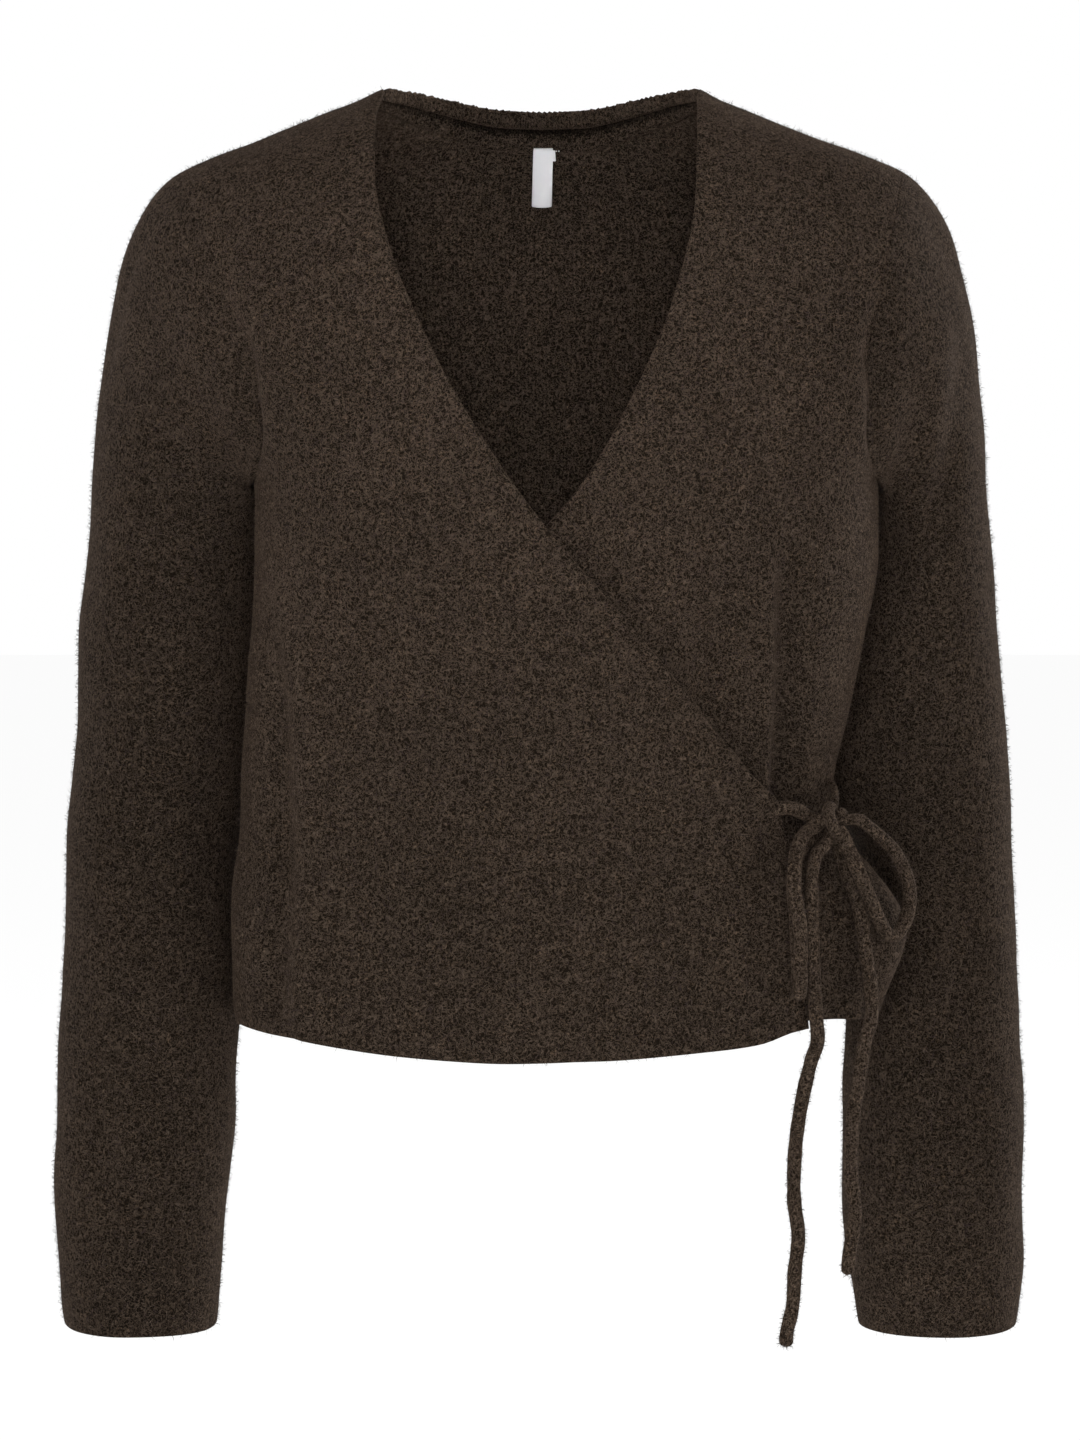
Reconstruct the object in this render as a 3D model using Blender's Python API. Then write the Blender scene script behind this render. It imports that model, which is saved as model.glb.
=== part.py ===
# A knitted wrap cardigan, filled out as if worn, with no wearer in it.
# +Z is up, the front faces -Y, and +X is the wearer's left. The origin lies
# between the two neck points, where the shoulders carry the garment.
from collections import namedtuple
import math

import bmesh
import bpy
from mathutils import Vector

MM = 0.001

# Driving dimensions
SLEEVE_DROP = 0.686         # neck point down to the cuff edge
WALL = 0.0025               # one layer of the brushed knit
LAP_OFFSET = 0.0049         # how far the under front lies behind the over front
SEAM_GAP = 0.0003           # between two pieces where they are sewn
UNDERARM = -0.213           # height of the lowest point of the armhole
SHOULDER_TIP = -0.045       # height of the outer end of the shoulder seam
BAND_END = -0.005           # height on the shoulder seam where the neck band starts
BAND_THICKNESS = 0.0044     # two layers, folded
CORD_DIAMETER = 0.0076      # knitted tie
HALF_TURN = math.pi / 2
SIDE_SEAM = 0.17            # about how far the side seams are from the centre
HEM_REACH = 0.4             # share of a panel, from its hem, that follows the hem's curve
NECK_NARROWING = 0.14       # how far the columns below the neck draw together
NECK_DRAWN_IN = 0.2         # share of the back's height in which they do so
NECK_DIP_FADE = 5           # how fast the neck's dip dies away below it
LAP_SHARE = 0.8             # share of the under front that sinks behind the over front
FACING = 0.55               # folds fade where the cloth faces less to the front than this
UNDERARM_WAY = (0.68, 0.48, -0.58)   # where the sleeve leaves the underarm, on the left

# Grid of the panels
ARMHOLE_ROWS = 10
SIDE_ROWS = 13
FRONT_COLUMNS = 16
BACK_BLOCK_COLUMNS = 5
BACK_NECK_COLUMNS = 12
SLEEVE_CAP_RINGS = 9
SLEEVE_LOWER_RINGS = 14
BAND_ROWS = 8
BAND_SWELL = 0.0012         # how far the band's two ribs stand out
SLEEVE_FULLNESS = 2.2       # 2 is an ellipse, more is squarer
CAP_START = 0.22            # how stiffly a sleeve leaves the armhole
CAP_END = 0.5               # and how soon it hangs straight
CAP_CROWDING = 1.3          # above 1, a cap's rings crowd towards the armhole
CAP_HANG = 0.02             # the stretch below a cap that its lines end in line with

# Horizontal sections through the body, in millimetres. left and right are the half
# widths, front and back the depths at the centre, widest is the y of the widest
# line, and fullness is 2 for an ellipse and more for a squarer section.
Section = namedtuple("Section", "height left right front back widest fullness")
BODY = (
    Section(12, 58, 56, 30, 46, 2, 2.0),
    Section(0, 87, 85, 40, 52, 2, 2.0),
    Section(-6, 100, 97, 46, 55, 2, 2.0),
    Section(-14, 121, 118, 53, 59, 2, 2.0),
    Section(-27, 155, 151, 62, 65, 2, 2.0),
    Section(-45, 197, 194, 71, 73, 2, 2.0),
    Section(-54, 208, 206, 76, 77, 2, 2.0),
    Section(-75, 218, 222, 85, 84, 1, 2.0),
    Section(-107, 217, 230, 95, 91, 0, 2.0),
    Section(-130, 207, 225, 101, 95, -1, 2.1),
    Section(-168, 186, 211, 109, 98, -3, 2.2),
    Section(-213, 158, 182, 114, 99, -8, 2.3),
    Section(-250, 157, 182, 115, 97, -14, 2.3),
    Section(-297, 160, 174, 111, 93, -18, 2.3),
    Section(-335, 162, 166, 106, 90, -20, 2.3),
    Section(-375, 165, 158, 101, 88, -22, 2.3),
    Section(-396, 166, 158, 99, 88, -24, 2.2),
    Section(-420, 168, 179, 100, 89, -28, 2.1),
    Section(-456, 170, 198, 103, 91, -32, 2.1),
    Section(-490, 170, 188, 106, 94, -28, 2.2),
    Section(-520, 168, 180, 108, 97, -24, 2.3),
)

# The armhole edge, as shares of the body's half width at each height.
ArmholeRow = namedtuple("ArmholeRow", "height front back")
ARMHOLE = (
    ArmholeRow(-45, 1.0, 1.0),
    ArmholeRow(-52, 0.94, 0.95),
    ArmholeRow(-64, 0.88, 0.905),
    ArmholeRow(-80, 0.83, 0.87),
    ArmholeRow(-107, 0.79, 0.84),
    ArmholeRow(-130, 0.79, 0.84),
    ArmholeRow(-168, 0.85, 0.88),
    ArmholeRow(-192, 0.92, 0.935),
    ArmholeRow(-206, 0.975, 0.98),
    ArmholeRow(-213, 1.0, 1.0),
)

# The front edge of each front: neck point, V, wrap, tie corner, hem corner.
EdgePoint = namedtuple("EdgePoint", "height across")
OVER_EDGE = (
    EdgePoint(0, -87),
    EdgePoint(-17, -91.5),
    EdgePoint(-44, -91.3),
    EdgePoint(-80, -84),
    EdgePoint(-125, -66),
    EdgePoint(-174, -39.5),
    EdgePoint(-232, 1),
    EdgePoint(-268, 32),
    EdgePoint(-311, 68),
    EdgePoint(-365, 111),
    EdgePoint(-383, 124.5),
    EdgePoint(-396, 127.5),
    EdgePoint(-440, 131.5),
    EdgePoint(-501, 141),
)
UNDER_EDGE = (
    EdgePoint(0, 85),
    EdgePoint(-20, 84),
    EdgePoint(-37, 83.5),
    EdgePoint(-61, 82),
    EdgePoint(-108, 71),
    EdgePoint(-156, 51),
    EdgePoint(-210, 20),
    EdgePoint(-232, 1),
    EdgePoint(-268, -32),
    EdgePoint(-311, -68),
    EdgePoint(-365, -111),
    EdgePoint(-383, -122),
    EdgePoint(-396, -126),
    EdgePoint(-440, -131),
    EdgePoint(-517, -138),
)

# The back neck, against the share of the way from the centre back to the shoulder:
# the seam under the band and the band's top edge.
NeckPoint = namedtuple("NeckPoint", "share seam top")
BACK_NECK = (
    NeckPoint(0, -33.7, -12.9),
    NeckPoint(0.25, -33.2, -11.8),
    NeckPoint(0.38, -30, -10.4),
    NeckPoint(0.54, -24.5, -7.4),
    NeckPoint(0.66, -20.5, -5.0),
    NeckPoint(0.77, -16, -3.0),
    NeckPoint(0.87, -11, -1.4),
    NeckPoint(1, -5, 0),
)

# Hem heights in millimetres against the distance from the centre.
HemPoint = namedtuple("HemPoint", "across over under back")
HEM = (
    HemPoint(-170, -505, -507, -506),
    HemPoint(-130, -507, -509.5, -508),
    HemPoint(-76, -512, -514, -511),
    HemPoint(-20, -515, -516.5, -512),
    HemPoint(30, -514.5, -515, -512),
    HemPoint(84, -511, -511, -511),
    HemPoint(116, -508, -505, -508),
    HemPoint(141, -501, -498.5, -505),
    HemPoint(190, -500, -501, -501),
)

# Sections of each sleeve below its cap, in millimetres from the centre plane.
SleeveSection = namedtuple("SleeveSection", "height outer inner front back")
SLEEVES = {
    "right": (
        SleeveSection(-262, 254, 154, -16, 86),
        SleeveSection(-300, 257, 156, -18, 84),
        SleeveSection(-340, 259, 160, -18, 82),
        SleeveSection(-380, 262, 163, -18, 80),
        SleeveSection(-420, 265, 167, -18, 78),
        SleeveSection(-460, 267, 169, -18, 76),
        SleeveSection(-500, 269, 170, -18, 74),
        SleeveSection(-557, 272, 172, -18, 72),
        SleeveSection(-596, 273, 176, -17, 71),
        SleeveSection(-636, 273, 179, -16, 70),
        SleeveSection(-676, 271.5, 182.5, -15, 69),
        SleeveSection(-688, 270, 184, -14, 68),
    ),
    "left": (
        SleeveSection(-262, 249.5, 175.5, -10, 90),
        SleeveSection(-300, 252.5, 167, -10, 88),
        SleeveSection(-340, 256, 157, -10, 86),
        SleeveSection(-380, 259, 151, -9, 86),
        SleeveSection(-420, 261.5, 174, -7, 88),
        SleeveSection(-456, 264, 179, -5, 89),
        SleeveSection(-490, 266, 175, -6, 87),
        SleeveSection(-530, 267.5, 169, -10, 82),
        SleeveSection(-557, 269, 168, -13, 78),
        SleeveSection(-596, 269, 169, -15, 74),
        SleeveSection(-636, 269, 170, -15, 71),
        SleeveSection(-676, 267, 176, -15, 69),
        SleeveSection(-688, 265.5, 178, -14, 68),
    ),
}

# The largest folds. rise is how far one stands out, or in where it is below 0.
Fold = namedtuple("Fold", "name face top_x top_z foot_x foot_z bow width rise")
FOLDS = (
    Fold("side_valley", "front", -150, -265, -146, -500, 7, 6, -4.0),
    Fold("side_ridge", "front", -136, -280, -132, -500, 8, 12, 2.2),
    Fold("lap_ridge", "front", 118, -235, 121, -385, 1, 7, 3.2),
    Fold("lap_valley", "front", 131, -262, 134, -388, 1, 7, -3.2),
    Fold("wrap_valley", "front", 83, -235, 84, -325, 0, 10, -2.2),
    Fold("peplum_ridge", "front", 160, -402, 172, -512, 3, 7, 3.0),
    Fold("peplum_valley", "front", 176, -415, 184, -505, 2, 5, -2.6),
    Fold("right_back_fold", "back", -105, -330, -100, -500, 4, 13, -3.0),
    Fold("left_back_fold", "back", 112, -330, 122, -505, -4, 13, -3.5),
    Fold("middle_back_fold", "back", 22, -360, 30, -508, -3, 16, -2.0),
    Fold("left_elbow_ridge", "front", 211, -112, 201, -235, 7, 9, 3.5),
    Fold("left_elbow_valley", "front", 226, -120, 211, -240, 6, 9, -3.2),
    Fold("left_sleeve_back", "back", 214, -330, 206, -470, 5, 12, -3.0),
    Fold("right_sleeve_back", "back", -206, -300, -216, -450, -5, 12, -3.0),
)

# The knot and the six stretches of tie that meet it. Each route is in millimetres,
# points is how many the tube gets along it, and meets says which ends reach the knot.
Knot = namedtuple("Knot", "x y z wide deep tall")
KNOT = Knot(155, -66, -392, 12.5, 10.5, 9.5)
Cord = namedtuple("Cord", "name points meets route")
CORDS = (
    Cord("front_tie_lead", 5, "end", (
        (125.8, -79.6, -383),
        (131, -78.6, -383),
        (136.5, -73.5, -385),
        (142.3, -67, -389.2),
    )),
    Cord("front_tie_loop", 24, "both", (
        (145.2, -74.2, -393.6),
        (139.8, -81, -396.5),
        (135.5, -88.5, -403.5),
        (133.6, -95, -412),
        (133.4, -99.5, -424.5),
        (135.6, -103, -438.5),
        (136.6, -104.5, -451),
        (136.5, -104.5, -464),
        (136.3, -102.5, -474),
        (136.2, -98, -479.8),
        (136, -93.5, -476.5),
        (135.6, -91.8, -467.5),
        (135.2, -90.8, -453),
        (134.4, -89.2, -438.5),
        (133.4, -86.4, -425),
        (134.2, -81.5, -413),
        (138.5, -74.2, -405),
        (145, -66.5, -400.2),
    )),
    Cord("front_tie_end", 19, "start", (
        (152, -73, -402.4),
        (146.6, -75.5, -408),
        (144, -79.5, -417),
        (143.4, -83.5, -429),
        (143.6, -87.2, -445),
        (144, -88.6, -460.6),
        (144.6, -88.6, -476),
        (146, -88, -495),
        (146.8, -87.5, -508),
        (143.4, -87, -519),
        (139.2, -87, -537.5),
        (136.2, -87, -556.5),
        (134.7, -87, -575.5),
        (134.8, -87, -595),
        (137.1, -87, -614),
        (135.3, -87, -633),
        (134.3, -87, -652),
        (131.2, -87, -667),
        (130.9, -87, -675),
    )),
    Cord("side_tie_lead", 6, "end", (
        (156.4, -41.7, -373.4),
        (160.5, -43.6, -374.5),
        (162, -47.5, -377),
        (161.2, -53, -380.5),
        (158.8, -58.5, -384.8),
    )),
    Cord("side_tie_loop", 24, "both", (
        (168.4, -68.6, -390.4),
        (175, -67, -394.6),
        (182, -65, -401),
        (189, -62.5, -408.5),
        (194.2, -60.5, -418),
        (197.4, -59, -428),
        (197.6, -58.5, -438),
        (194.8, -60.5, -448),
        (190, -64.5, -454),
        (184.6, -69.5, -452),
        (180, -73.5, -443.6),
        (175, -76, -432),
        (169.8, -77, -420),
        (165, -76.6, -409),
        (161.6, -75, -401.6),
    )),
    Cord("side_tie_end", 18, "start", (
        (158, -64.5, -403),
        (159.6, -65, -410),
        (163, -68, -420),
        (167.4, -71.8, -431.5),
        (170.2, -75, -442.5),
        (171.6, -77, -452),
        (173.6, -77.5, -466),
        (176.2, -77, -483),
        (176.4, -76.5, -497),
        (173, -76, -509.5),
        (171.2, -76, -521),
        (169.4, -76, -534),
        (166.6, -76, -553),
        (166, -76, -582),
        (168.3, -76, -604),
        (165.7, -76, -623.5),
        (164.2, -76, -638),
    )),
)

# The woven loop label and the small tab beside it, in millimetres. tilt is how far
# the foot hangs to one side of the top.
Tag = namedtuple("Tag", "name middle width top foot thick tilt")
TAGS = (
    Tag("neck_label", -0.1, 10.6, -29.5, -60.5, 1.1, -0.8),
    Tag("size_tab", 6.9, 2.4, -29.5, -36.0, 0.6, 0.4),
)
TAG_CLEARANCE = 0.0038      # between a tag and the cloth behind it, so that it clears the band
TAG_ROWS = 8


def smooth_through(xs, ys, x):
    """The value at x of a curve through the points that never overshoots them."""
    if x <= xs[0]:
        return ys[0]
    if x >= xs[-1]:
        return ys[-1]
    i = max(k for k in range(len(xs) - 1) if xs[k] <= x)
    steps = [xs[k + 1] - xs[k] for k in range(len(xs) - 1)]
    slopes = [(ys[k + 1] - ys[k]) / steps[k] for k in range(len(xs) - 1)]

    def lean(k):
        if k == 0:
            return slopes[0]
        if k == len(xs) - 1:
            return slopes[-1]
        if slopes[k - 1] * slopes[k] <= 0:
            return 0.0
        before = 2 * steps[k] + steps[k - 1]
        after = steps[k] + 2 * steps[k - 1]
        return (before + after) / (before / slopes[k - 1] + after / slopes[k])

    t = (x - xs[i]) / steps[i]
    start = (1 + 2 * t) * (1 - t) ** 2 * ys[i] + t * t * (3 - 2 * t) * ys[i + 1]
    bend = t * (1 - t) ** 2 * lean(i) - t * t * (1 - t) * lean(i + 1)
    return start + bend * steps[i]


def column(rows, key, name, at):
    """One named column of a table, at a value of its key column."""
    ordered = sorted(rows, key=lambda row: getattr(row, key))
    xs = [getattr(row, key) for row in ordered]
    ys = [getattr(row, name) for row in ordered]
    return smooth_through(xs, ys, at)


def at_height(rows, name, height):
    """The same for a table by height, with the height in metres."""
    return column(rows, "height", name, height / MM)


def half_width(sign, height):
    """The body's half width on one side, in metres."""
    return at_height(BODY, "right" if sign > 0 else "left", height) * MM


def hem_height(line, x):
    """The height of one piece's hem at a distance across, in metres."""
    return column(HEM, "across", line, x / MM) * MM


def ease(t):
    t = min(1.0, max(0.0, t))
    return t * t * (3 - 2 * t)


def fold_rise(x, z, face):
    """How far the folds move the cloth outwards at a place on one face."""
    total = 0.0
    for fold in FOLDS:
        if fold.face != face:
            continue
        t = (z / MM - fold.top_z) / (fold.foot_z - fold.top_z)
        if not 0 < t < 1:
            continue
        middle = fold.top_x + (fold.foot_x - fold.top_x) * t + fold.bow * 4 * t * (1 - t)
        aside = (x / MM - middle) / fold.width
        total += fold.rise * math.exp(-aside * aside) * ease(t / 0.3) * ease((1.35 - t) / 0.35)
    return total * MM


def turn_at(across, height, back=False):
    """The turn round the body, from the centre front, of a place at this distance across."""
    power = at_height(BODY, "fullness", height)
    share = min(1.0, abs(across) / half_width(across, height))
    depth = (1 - share ** power) ** (1 / power)
    turn = math.atan2(share, -depth if back else depth)
    if across > 0:
        return turn
    return 2 * math.pi - turn if back else -turn


def bare_torso(turn, height):
    """A point on the smooth form of the body."""
    sine, cosine = math.sin(turn), math.cos(turn)
    power = at_height(BODY, "fullness", height)
    reach = (abs(sine) ** power + abs(cosine) ** power) ** (-1 / power)
    widest = at_height(BODY, "widest", height)
    if cosine > 0:
        depth = at_height(BODY, "front", height) + widest
    else:
        depth = at_height(BODY, "back", height) - widest
    x = half_width(sine, height) * reach * sine
    return Vector((x, (widest - depth * reach * cosine) * MM, height))


def torso(turn, height, lift=0.0):
    """A point of the cloth's outside and the direction that faces out there."""
    nudge = 0.012
    drop = 0.0015
    across = bare_torso(turn + nudge, height) - bare_torso(turn - nudge, height)
    upwards = bare_torso(turn, height + drop) - bare_torso(turn, height - drop)
    out = across.cross(upwards).normalized()
    point = bare_torso(turn, height)
    face = "front" if math.cos(turn) > 0 else "back"
    facing = ease(abs(out.y) / FACING)
    return point + out * (lift + fold_rise(point.x, point.z, face) * facing), out


def material(name, color, roughness):
    made = bpy.data.materials.new(name)
    made.use_nodes = True
    shader = made.node_tree.nodes["Principled BSDF"]
    shader.inputs["Base Color"].default_value = (*color, 1)
    shader.inputs["Roughness"].default_value = roughness
    shader.inputs["Metallic"].default_value = 0
    return made


KNIT = (0.034, 0.024, 0.017)
LABEL_WHITE = (0.75, 0.75, 0.76)


def add_object(name, mesh_tool, color=KNIT, roughness=0.9):
    """Makes one named piece of a bmesh and shades it smooth."""
    mesh = bpy.data.meshes.new(name)
    mesh_tool.to_mesh(mesh)
    mesh_tool.free()
    mesh.shade_smooth()
    mesh.set_sharp_from_angle(angle=math.radians(50))
    mesh.materials.append(material(name + "_finish", color, roughness))
    bpy.context.collection.objects.link(bpy.data.objects.new(name, mesh))


def walled(outer, inner, closed=False):
    """A closed wall between two grids of points, given row by row.

    With closed, each row is a ring and its last point joins its first.
    """
    wall = bmesh.new()
    faces_out = [[wall.verts.new(p) for p in row] for row in outer]
    faces_in = [[wall.verts.new(p) for p in row] for row in inner]
    rows, columns = len(outer), len(outer[0])
    spans = columns if closed else columns - 1

    def quad(a, b, c, d):
        wall.faces.new((a, b, c, d))

    for i in range(rows - 1):
        for j in range(spans):
            k = (j + 1) % columns
            quad(faces_out[i][j], faces_out[i + 1][j], faces_out[i + 1][k], faces_out[i][k])
            quad(faces_in[i][j], faces_in[i][k], faces_in[i + 1][k], faces_in[i + 1][j])
    for j in range(spans):
        k = (j + 1) % columns
        quad(faces_out[0][j], faces_out[0][k], faces_in[0][k], faces_in[0][j])
        quad(faces_out[-1][k], faces_out[-1][j], faces_in[-1][j], faces_in[-1][k])
    if not closed:
        for i in range(rows - 1):
            quad(faces_out[i + 1][0], faces_out[i][0], faces_in[i][0], faces_in[i + 1][0])
            quad(faces_out[i][-1], faces_out[i + 1][-1], faces_in[i + 1][-1], faces_in[i][-1])
    bmesh.ops.triangulate(wall, faces=wall.faces[:])
    return wall


def drawn_back(grid, side):
    """Moves one border of a grid half a seam gap towards the inside of the grid."""
    rows, columns = len(grid), len(grid[0])
    if side in ("first", "last"):
        edge, beside = (0, 1) if side == "first" else (columns - 1, columns - 2)
        pairs = [((i, edge), (i, beside)) for i in range(rows)]
    else:
        edge, beside = (0, 1) if side == "top" else (rows - 1, rows - 2)
        pairs = [((edge, j), (beside, j)) for j in range(columns)]
    border = [grid[i][j].copy() for (i, j), _ in pairs]
    for k, ((i, j), (m, n)) in enumerate(pairs):
        along = (border[min(k + 1, len(border) - 1)] - border[max(k - 1, 0)]).normalized()
        inwards = grid[m][n] - grid[i][j]
        inwards = inwards - along * inwards.dot(along)
        grid[i][j] = grid[i][j] + inwards.normalized() * SEAM_GAP / 2


def side_heights(hem):
    """Heights down the armhole and the side seam, shared by every piece sewn there."""
    armhole = [SHOULDER_TIP + (UNDERARM - SHOULDER_TIP) * ease_ends(i / ARMHOLE_ROWS)
               for i in range(ARMHOLE_ROWS + 1)]
    seam = [UNDERARM + (hem - UNDERARM) * i / SIDE_ROWS for i in range(1, SIDE_ROWS + 1)]
    return armhole, seam


def ease_ends(t):
    """Steps that are shorter near both ends."""
    return 0.5 * t + 0.5 * (1 - math.cos(math.pi * t)) / 2


def side_edge(sign, back):
    """Turns and heights of the armhole and side seam on one side of one face."""
    hem = hem_height("back", sign * SIDE_SEAM)
    armhole, seam = side_heights(hem)
    edge = []
    for height in armhole:
        share = at_height(ARMHOLE, "back" if back else "front", height)
        across = sign * share * half_width(sign, height)
        edge.append((turn_at(across, height, back), height))
    widest = sign * HALF_TURN if not back or sign > 0 else 2 * math.pi - HALF_TURN
    edge[0] = (widest, armhole[0])
    edge[-1] = (widest, armhole[-1])
    return edge + [(widest, height) for height in seam]


def make_front(name, sign, edge_table, hem_name, lift_of):
    """One front: rows run from the shoulder seam down to the hem."""
    side = side_edge(sign, back=False)
    top, foot = side[0][1], side[-1][1]
    edge_foot = edge_table[-1].height * MM
    outer, inner = [], []
    for i, (side_turn, side_height) in enumerate(side):
        v = (side_height - top) / (foot - top)
        edge_height = edge_foot * v
        across = at_height(edge_table, "across", edge_height) * MM
        edge_turn = sign * HALF_TURN if i == 0 else turn_at(across, edge_height)
        outer_row, inner_row = [], []
        for j in range(FRONT_COLUMNS + 1):
            u = j / FRONT_COLUMNS
            turn = side_turn + (edge_turn - side_turn) * u
            height = side_height + (edge_height - side_height) * u
            straight_hem = foot + (edge_foot - foot) * u
            x = bare_torso(turn, height).x
            hem_shift = hem_height(hem_name, x) - straight_hem
            if j > 0:
                height += hem_shift * ease((v - 1 + HEM_REACH) / HEM_REACH)
            point, out = torso(turn, height, lift_of(turn, height))
            outer_row.append(point)
            inner_row.append(point - out * WALL)
        outer.append(outer_row)
        inner.append(inner_row)
    for grid in (outer, inner):
        drawn_back(grid, "first")
        drawn_back(grid, "top")
    if sign > 0:
        outer = [row[::-1] for row in outer]
        inner = [row[::-1] for row in inner]
    add_object(name, walled(outer, inner))
    return side


def no_lift(turn, height):
    return 0.0


def under_lift(turn, height):
    """The under front sinks behind the over front, from its side seam inwards."""
    across = at_height(OVER_EDGE, "across", height) * MM
    wrap_turn = turn_at(across, height)
    share = (turn - wrap_turn) / (HALF_TURN - wrap_turn)
    return -LAP_OFFSET * (1 - ease(share / LAP_SHARE))


def neck_height(share, line):
    return column(BACK_NECK, "share", line, abs(share)) * MM


def neck_point(share, line, end_height):
    """Turn and height of a point on one of the back neck's two lines."""
    height = neck_height(share, line)
    sign = 1 if share >= 0 else -1
    if abs(share) > 0.999:
        return (HALF_TURN if sign > 0 else 3 * HALF_TURN), end_height
    return turn_at(share * half_width(sign, end_height), height, back=True), height


def make_back():
    """The back: two shoulder blocks and the block below the neck, in one grid."""
    sides = {sign: side_edge(sign, back=True) for sign in (-1, 1)}
    top, foot = sides[1][0][1], sides[1][-1][1]
    outer, inner = [], []
    for i in range(ARMHOLE_ROWS + SIDE_ROWS + 1):
        stops = {}
        for sign in (-1, 1):
            side_turn, side_height = sides[sign][i]
            v = (side_height - top) / (foot - top)
            height = BAND_END + (foot - BAND_END) * v
            across = half_width(sign, BAND_END) * (1 - NECK_NARROWING * ease(v / NECK_DRAWN_IN))
            if i == 0:
                turn = HALF_TURN if sign > 0 else 3 * HALF_TURN
            else:
                turn = turn_at(sign * across, height, back=True)
            stops[sign] = ((side_turn, side_height), (turn, height), across)
        row = []
        for j in range(BACK_BLOCK_COLUMNS):
            row.append(between(*stops[1][:2], j / BACK_BLOCK_COLUMNS))
        row.append(stops[1][1])
        for j in range(1, BACK_NECK_COLUMNS):
            share = 1 - 2 * j / BACK_NECK_COLUMNS
            if i == 0:
                row.append(neck_point(share, "seam", BAND_END))
                continue
            dip = (neck_height(share, "seam") - BAND_END) * (1 - v) ** NECK_DIP_FADE
            across = share * stops[1 if share > 0 else -1][2]
            row.append((turn_at(across, height + dip, back=True), height + dip))
        row.append(stops[-1][1])
        for j in range(1, BACK_BLOCK_COLUMNS + 1):
            row.append(between(stops[-1][1], stops[-1][0], j / BACK_BLOCK_COLUMNS))
        outer_row, inner_row = [], []
        for turn, height in row:
            x = bare_torso(turn, height).x
            hem_shift = hem_height("back", x) - foot
            hem_share = ease((v - 1 + HEM_REACH) / HEM_REACH)
            point, out = torso(turn, height + hem_shift * hem_share)
            outer_row.append(point)
            inner_row.append(point - out * WALL)
        outer.append(outer_row)
        inner.append(inner_row)
    for grid in (outer, inner):
        drawn_back(grid, "first")
        drawn_back(grid, "last")
        drawn_back(grid, "top")
    add_object("back", walled(outer, inner))
    return sides


def make_neck_band():
    """The folded band inside the back neck, with a trough along its middle."""
    outer, inner = [], []
    for i in range(BAND_ROWS + 1):
        w = i / BAND_ROWS
        outer_row, inner_row = [], []
        for j in range(BACK_NECK_COLUMNS + 1):
            share = 1 - 2 * j / BACK_NECK_COLUMNS
            seam = neck_point(share, "seam", BAND_END)
            rim = neck_point(share, "top", 0.0)
            turn, height = between(seam, rim, w)
            point, out = torso(turn, height)
            swell = BAND_SWELL * abs(math.sin(2 * math.pi * w))
            outer_row.append(point)
            inner_row.append(point - out * (BAND_THICKNESS + swell))
        outer.append(outer_row)
        inner.append(inner_row)
    outer.reverse()
    inner.reverse()
    for grid in (outer, inner):
        drawn_back(grid, "first")
        drawn_back(grid, "last")
        drawn_back(grid, "bottom")
    add_object("back_neck_band", walled(outer, inner))


def sleeve_section(table, sign, height, around):
    """A point of the sleeve's outside below the cap. around is 0 at the outer side."""
    outer = at_height(table, "outer", height)
    inner = at_height(table, "inner", height)
    front = at_height(table, "front", height)
    back = at_height(table, "back", height)
    sine, cosine = math.sin(around), math.cos(around)
    power = SLEEVE_FULLNESS
    reach = (abs(sine) ** power + abs(cosine) ** power) ** (-1 / power)
    x = (outer + inner) / 2 + (outer - inner) / 2 * reach * cosine
    y = (front + back) / 2 + (front - back) / 2 * reach * sine
    return Vector((sign * x * MM, y * MM, height))


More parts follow.
